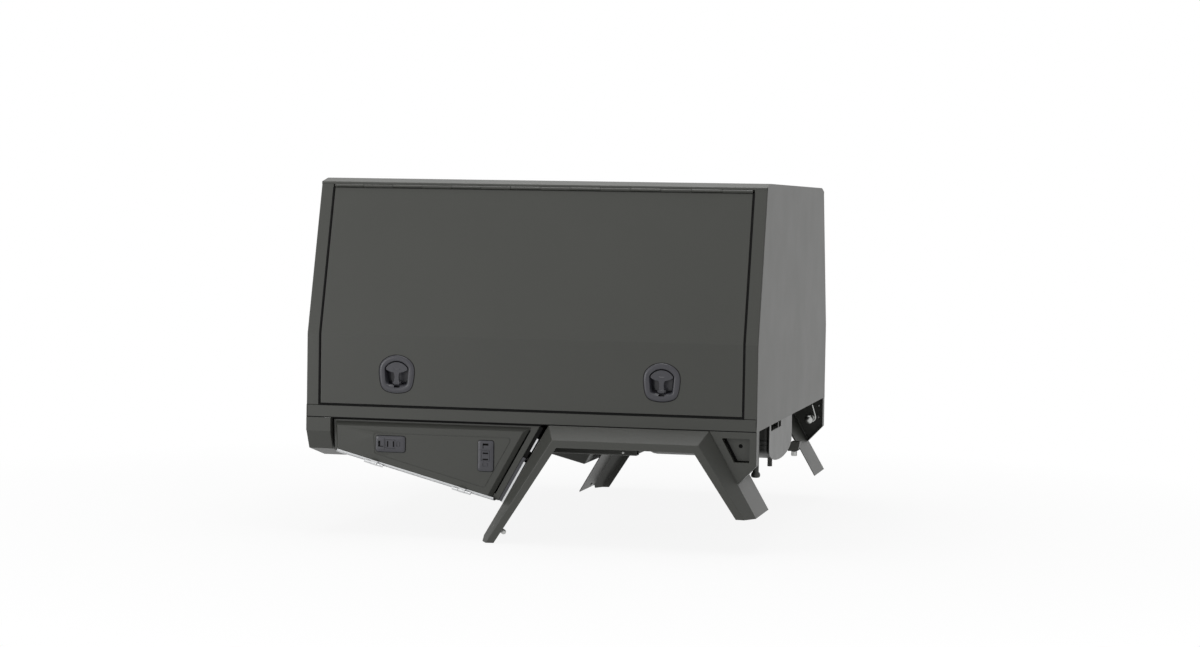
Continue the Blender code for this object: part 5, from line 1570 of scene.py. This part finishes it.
class TOOLBOX_OT_stage(bpy.types.Operator):
    """Set up the pale floor, the soft lamps, the white surroundings and the camera"""

    bl_idname = "toolbox.stage"
    bl_label = "Stage"

    def execute(self, context):
        scene = context.scene
        scene.view_settings.view_transform = "Standard"
        bm = bmesh.new()
        bm.faces.new([bm.verts.new((a * FLOOR_HALF, b * FLOOR_HALF, GROUND))
                      for a, b in ((-1, -1), (1, -1), (1, 1), (-1, 1))])
        floor = loose("studio_floor", bm)
        floor.data.materials.append(self.floor_material(scene.tool_box_colours))
        self.light_world(scene)
        for name, place, target, size, power in LAMPS:
            lamp = bpy.data.lights.new(name, "AREA")
            lamp.shape = "RECTANGLE"
            lamp.size, lamp.size_y = size
            lamp.energy = power
            holder = bpy.data.objects.new(name, lamp)
            holder.location = place
            holder.rotation_euler = (Vector(target) - Vector(place)).to_track_quat("-Z", "Y").to_euler()
            scene.collection.objects.link(holder)
        self.place_camera(scene)
        return {"FINISHED"}

    def seen_directly(self, tree):
        """One for a ray from the camera, a reflection or a refraction."""
        path = add(tree, "ShaderNodeLightPath").outputs
        seen = maths(tree, "MAXIMUM", path["Is Camera Ray"], path["Is Glossy Ray"])
        return maths(tree, "MAXIMUM", seen, path["Is Transmission Ray"])

    def floor_material(self, colours):
        """A pale floor that looks white, apart from the object's shadow."""
        material = bpy.data.materials.new("pale_studio_floor")
        material.use_nodes = True
        tree = material.node_tree
        tree.nodes.clear()
        plain = add(tree, "ShaderNodeBsdfDiffuse", {"Color": (*colours.floor, 1.0)}).outputs[0]
        glow = add(tree, "ShaderNodeEmission", {"Color": WHITE, "Strength": 1.0}).outputs[0]
        place = add(tree, "ShaderNodeTexCoord").outputs["Object"]
        away = add(tree, "ShaderNodeVectorMath", {0: place}, operation="LENGTH").outputs["Value"]
        near, far = FLOOR_FADE
        whiten = add(tree, "ShaderNodeMapRange", {"Value": away, "From Min": near, "From Max": far,
                                                  "To Min": FLOOR_SHOWN, "To Max": 1.0}).outputs["Result"]
        share = maths(tree, "MULTIPLY", self.seen_directly(tree), whiten)
        mixed = add(tree, "ShaderNodeMixShader", {0: share, 1: plain, 2: glow}).outputs[0]
        add(tree, "ShaderNodeOutputMaterial", {"Surface": mixed})
        return material

    def light_world(self, scene):
        """Even light all round, which shows as white."""
        world = bpy.data.worlds.new("studio_surroundings")
        world.use_nodes = True
        scene.world = world
        tree = world.node_tree
        tree.nodes.clear()
        light, white = (add(tree, "ShaderNodeBackground", {"Color": WHITE, "Strength": strength}).outputs[0]
                        for strength in (WORLD_LIGHT, 1.0))
        mixed = add(tree, "ShaderNodeMixShader", {0: self.seen_directly(tree), 1: light, 2: white}).outputs[0]
        add(tree, "ShaderNodeOutputWorld", {"Surface": mixed})

    def place_camera(self, scene):
        """The photograph's viewpoint."""
        lens = bpy.data.cameras.new("photo_camera")
        lens.lens = CAMERA_LENS
        lens.sensor_fit = "HORIZONTAL"
        lens.sensor_width = CAMERA_SENSOR
        camera = bpy.data.objects.new("photo_camera", lens)
        camera.matrix_world = (Matrix.Translation(CAMERA_AT) @ Matrix.Rotation(CAMERA_YAW, 4, "Z")
                               @ Matrix.Rotation(math.pi / 2 + CAMERA_PITCH, 4, "X")
                               @ Matrix.Rotation(CAMERA_ROLL, 4, "Z"))
        scene.collection.objects.link(camera)
        scene.camera = camera


OPERATORS = (TOOLBOX_OT_stage, TOOLBOX_OT_cabinet, TOOLBOX_OT_quarter_details, TOOLBOX_OT_subframe,
             TOOLBOX_OT_door_seals, TOOLBOX_OT_gap_trims, TOOLBOX_OT_latch_dishes,
             TOOLBOX_OT_t_handles, TOOLBOX_OT_push_latches, TOOLBOX_OT_hinges, TOOLBOX_OT_toolbox_trim,
             TOOLBOX_OT_gas_struts, TOOLBOX_OT_water_gear, TOOLBOX_OT_guard_fittings, TOOLBOX_OT_fasteners)


class TOOLBOX_PT_panel(bpy.types.Panel):
    """Sidebar panel that lists the tool box's operators, sizes and colours"""

    bl_idname = "TOOLBOX_PT_panel"
    bl_label = "Chassis mount tool box"
    bl_space_type = "VIEW_3D"
    bl_region_type = "UI"
    bl_category = "Tool Box"

    def draw(self, context):
        for operator in OPERATORS:
            self.layout.operator(operator.bl_idname)
        for group in (context.scene.tool_box_sizes, context.scene.tool_box_colours):
            for name in group.__annotations__:
                self.layout.prop(group, name)


CLASSES = (ToolBoxSizes, ToolBoxColours) + OPERATORS + (TOOLBOX_PT_panel,)


def register():
    """Register the classes and hang the settings on the scene."""
    for item in CLASSES:
        bpy.utils.register_class(item)
    bpy.types.Scene.tool_box_sizes = bpy.props.PointerProperty(type=ToolBoxSizes)
    bpy.types.Scene.tool_box_colours = bpy.props.PointerProperty(type=ToolBoxColours)


def unregister():
    """Take the settings and the classes away again."""
    del bpy.types.Scene.tool_box_colours
    del bpy.types.Scene.tool_box_sizes
    for item in reversed(CLASSES):
        bpy.utils.unregister_class(item)


def main():
    """Register the add-on, then run every operator to dress the tool box."""
    register()
    for operator in OPERATORS:
        area, name = operator.bl_idname.split(".")
        getattr(getattr(bpy.ops, area), name)()


if __name__ == "__main__":
    main()
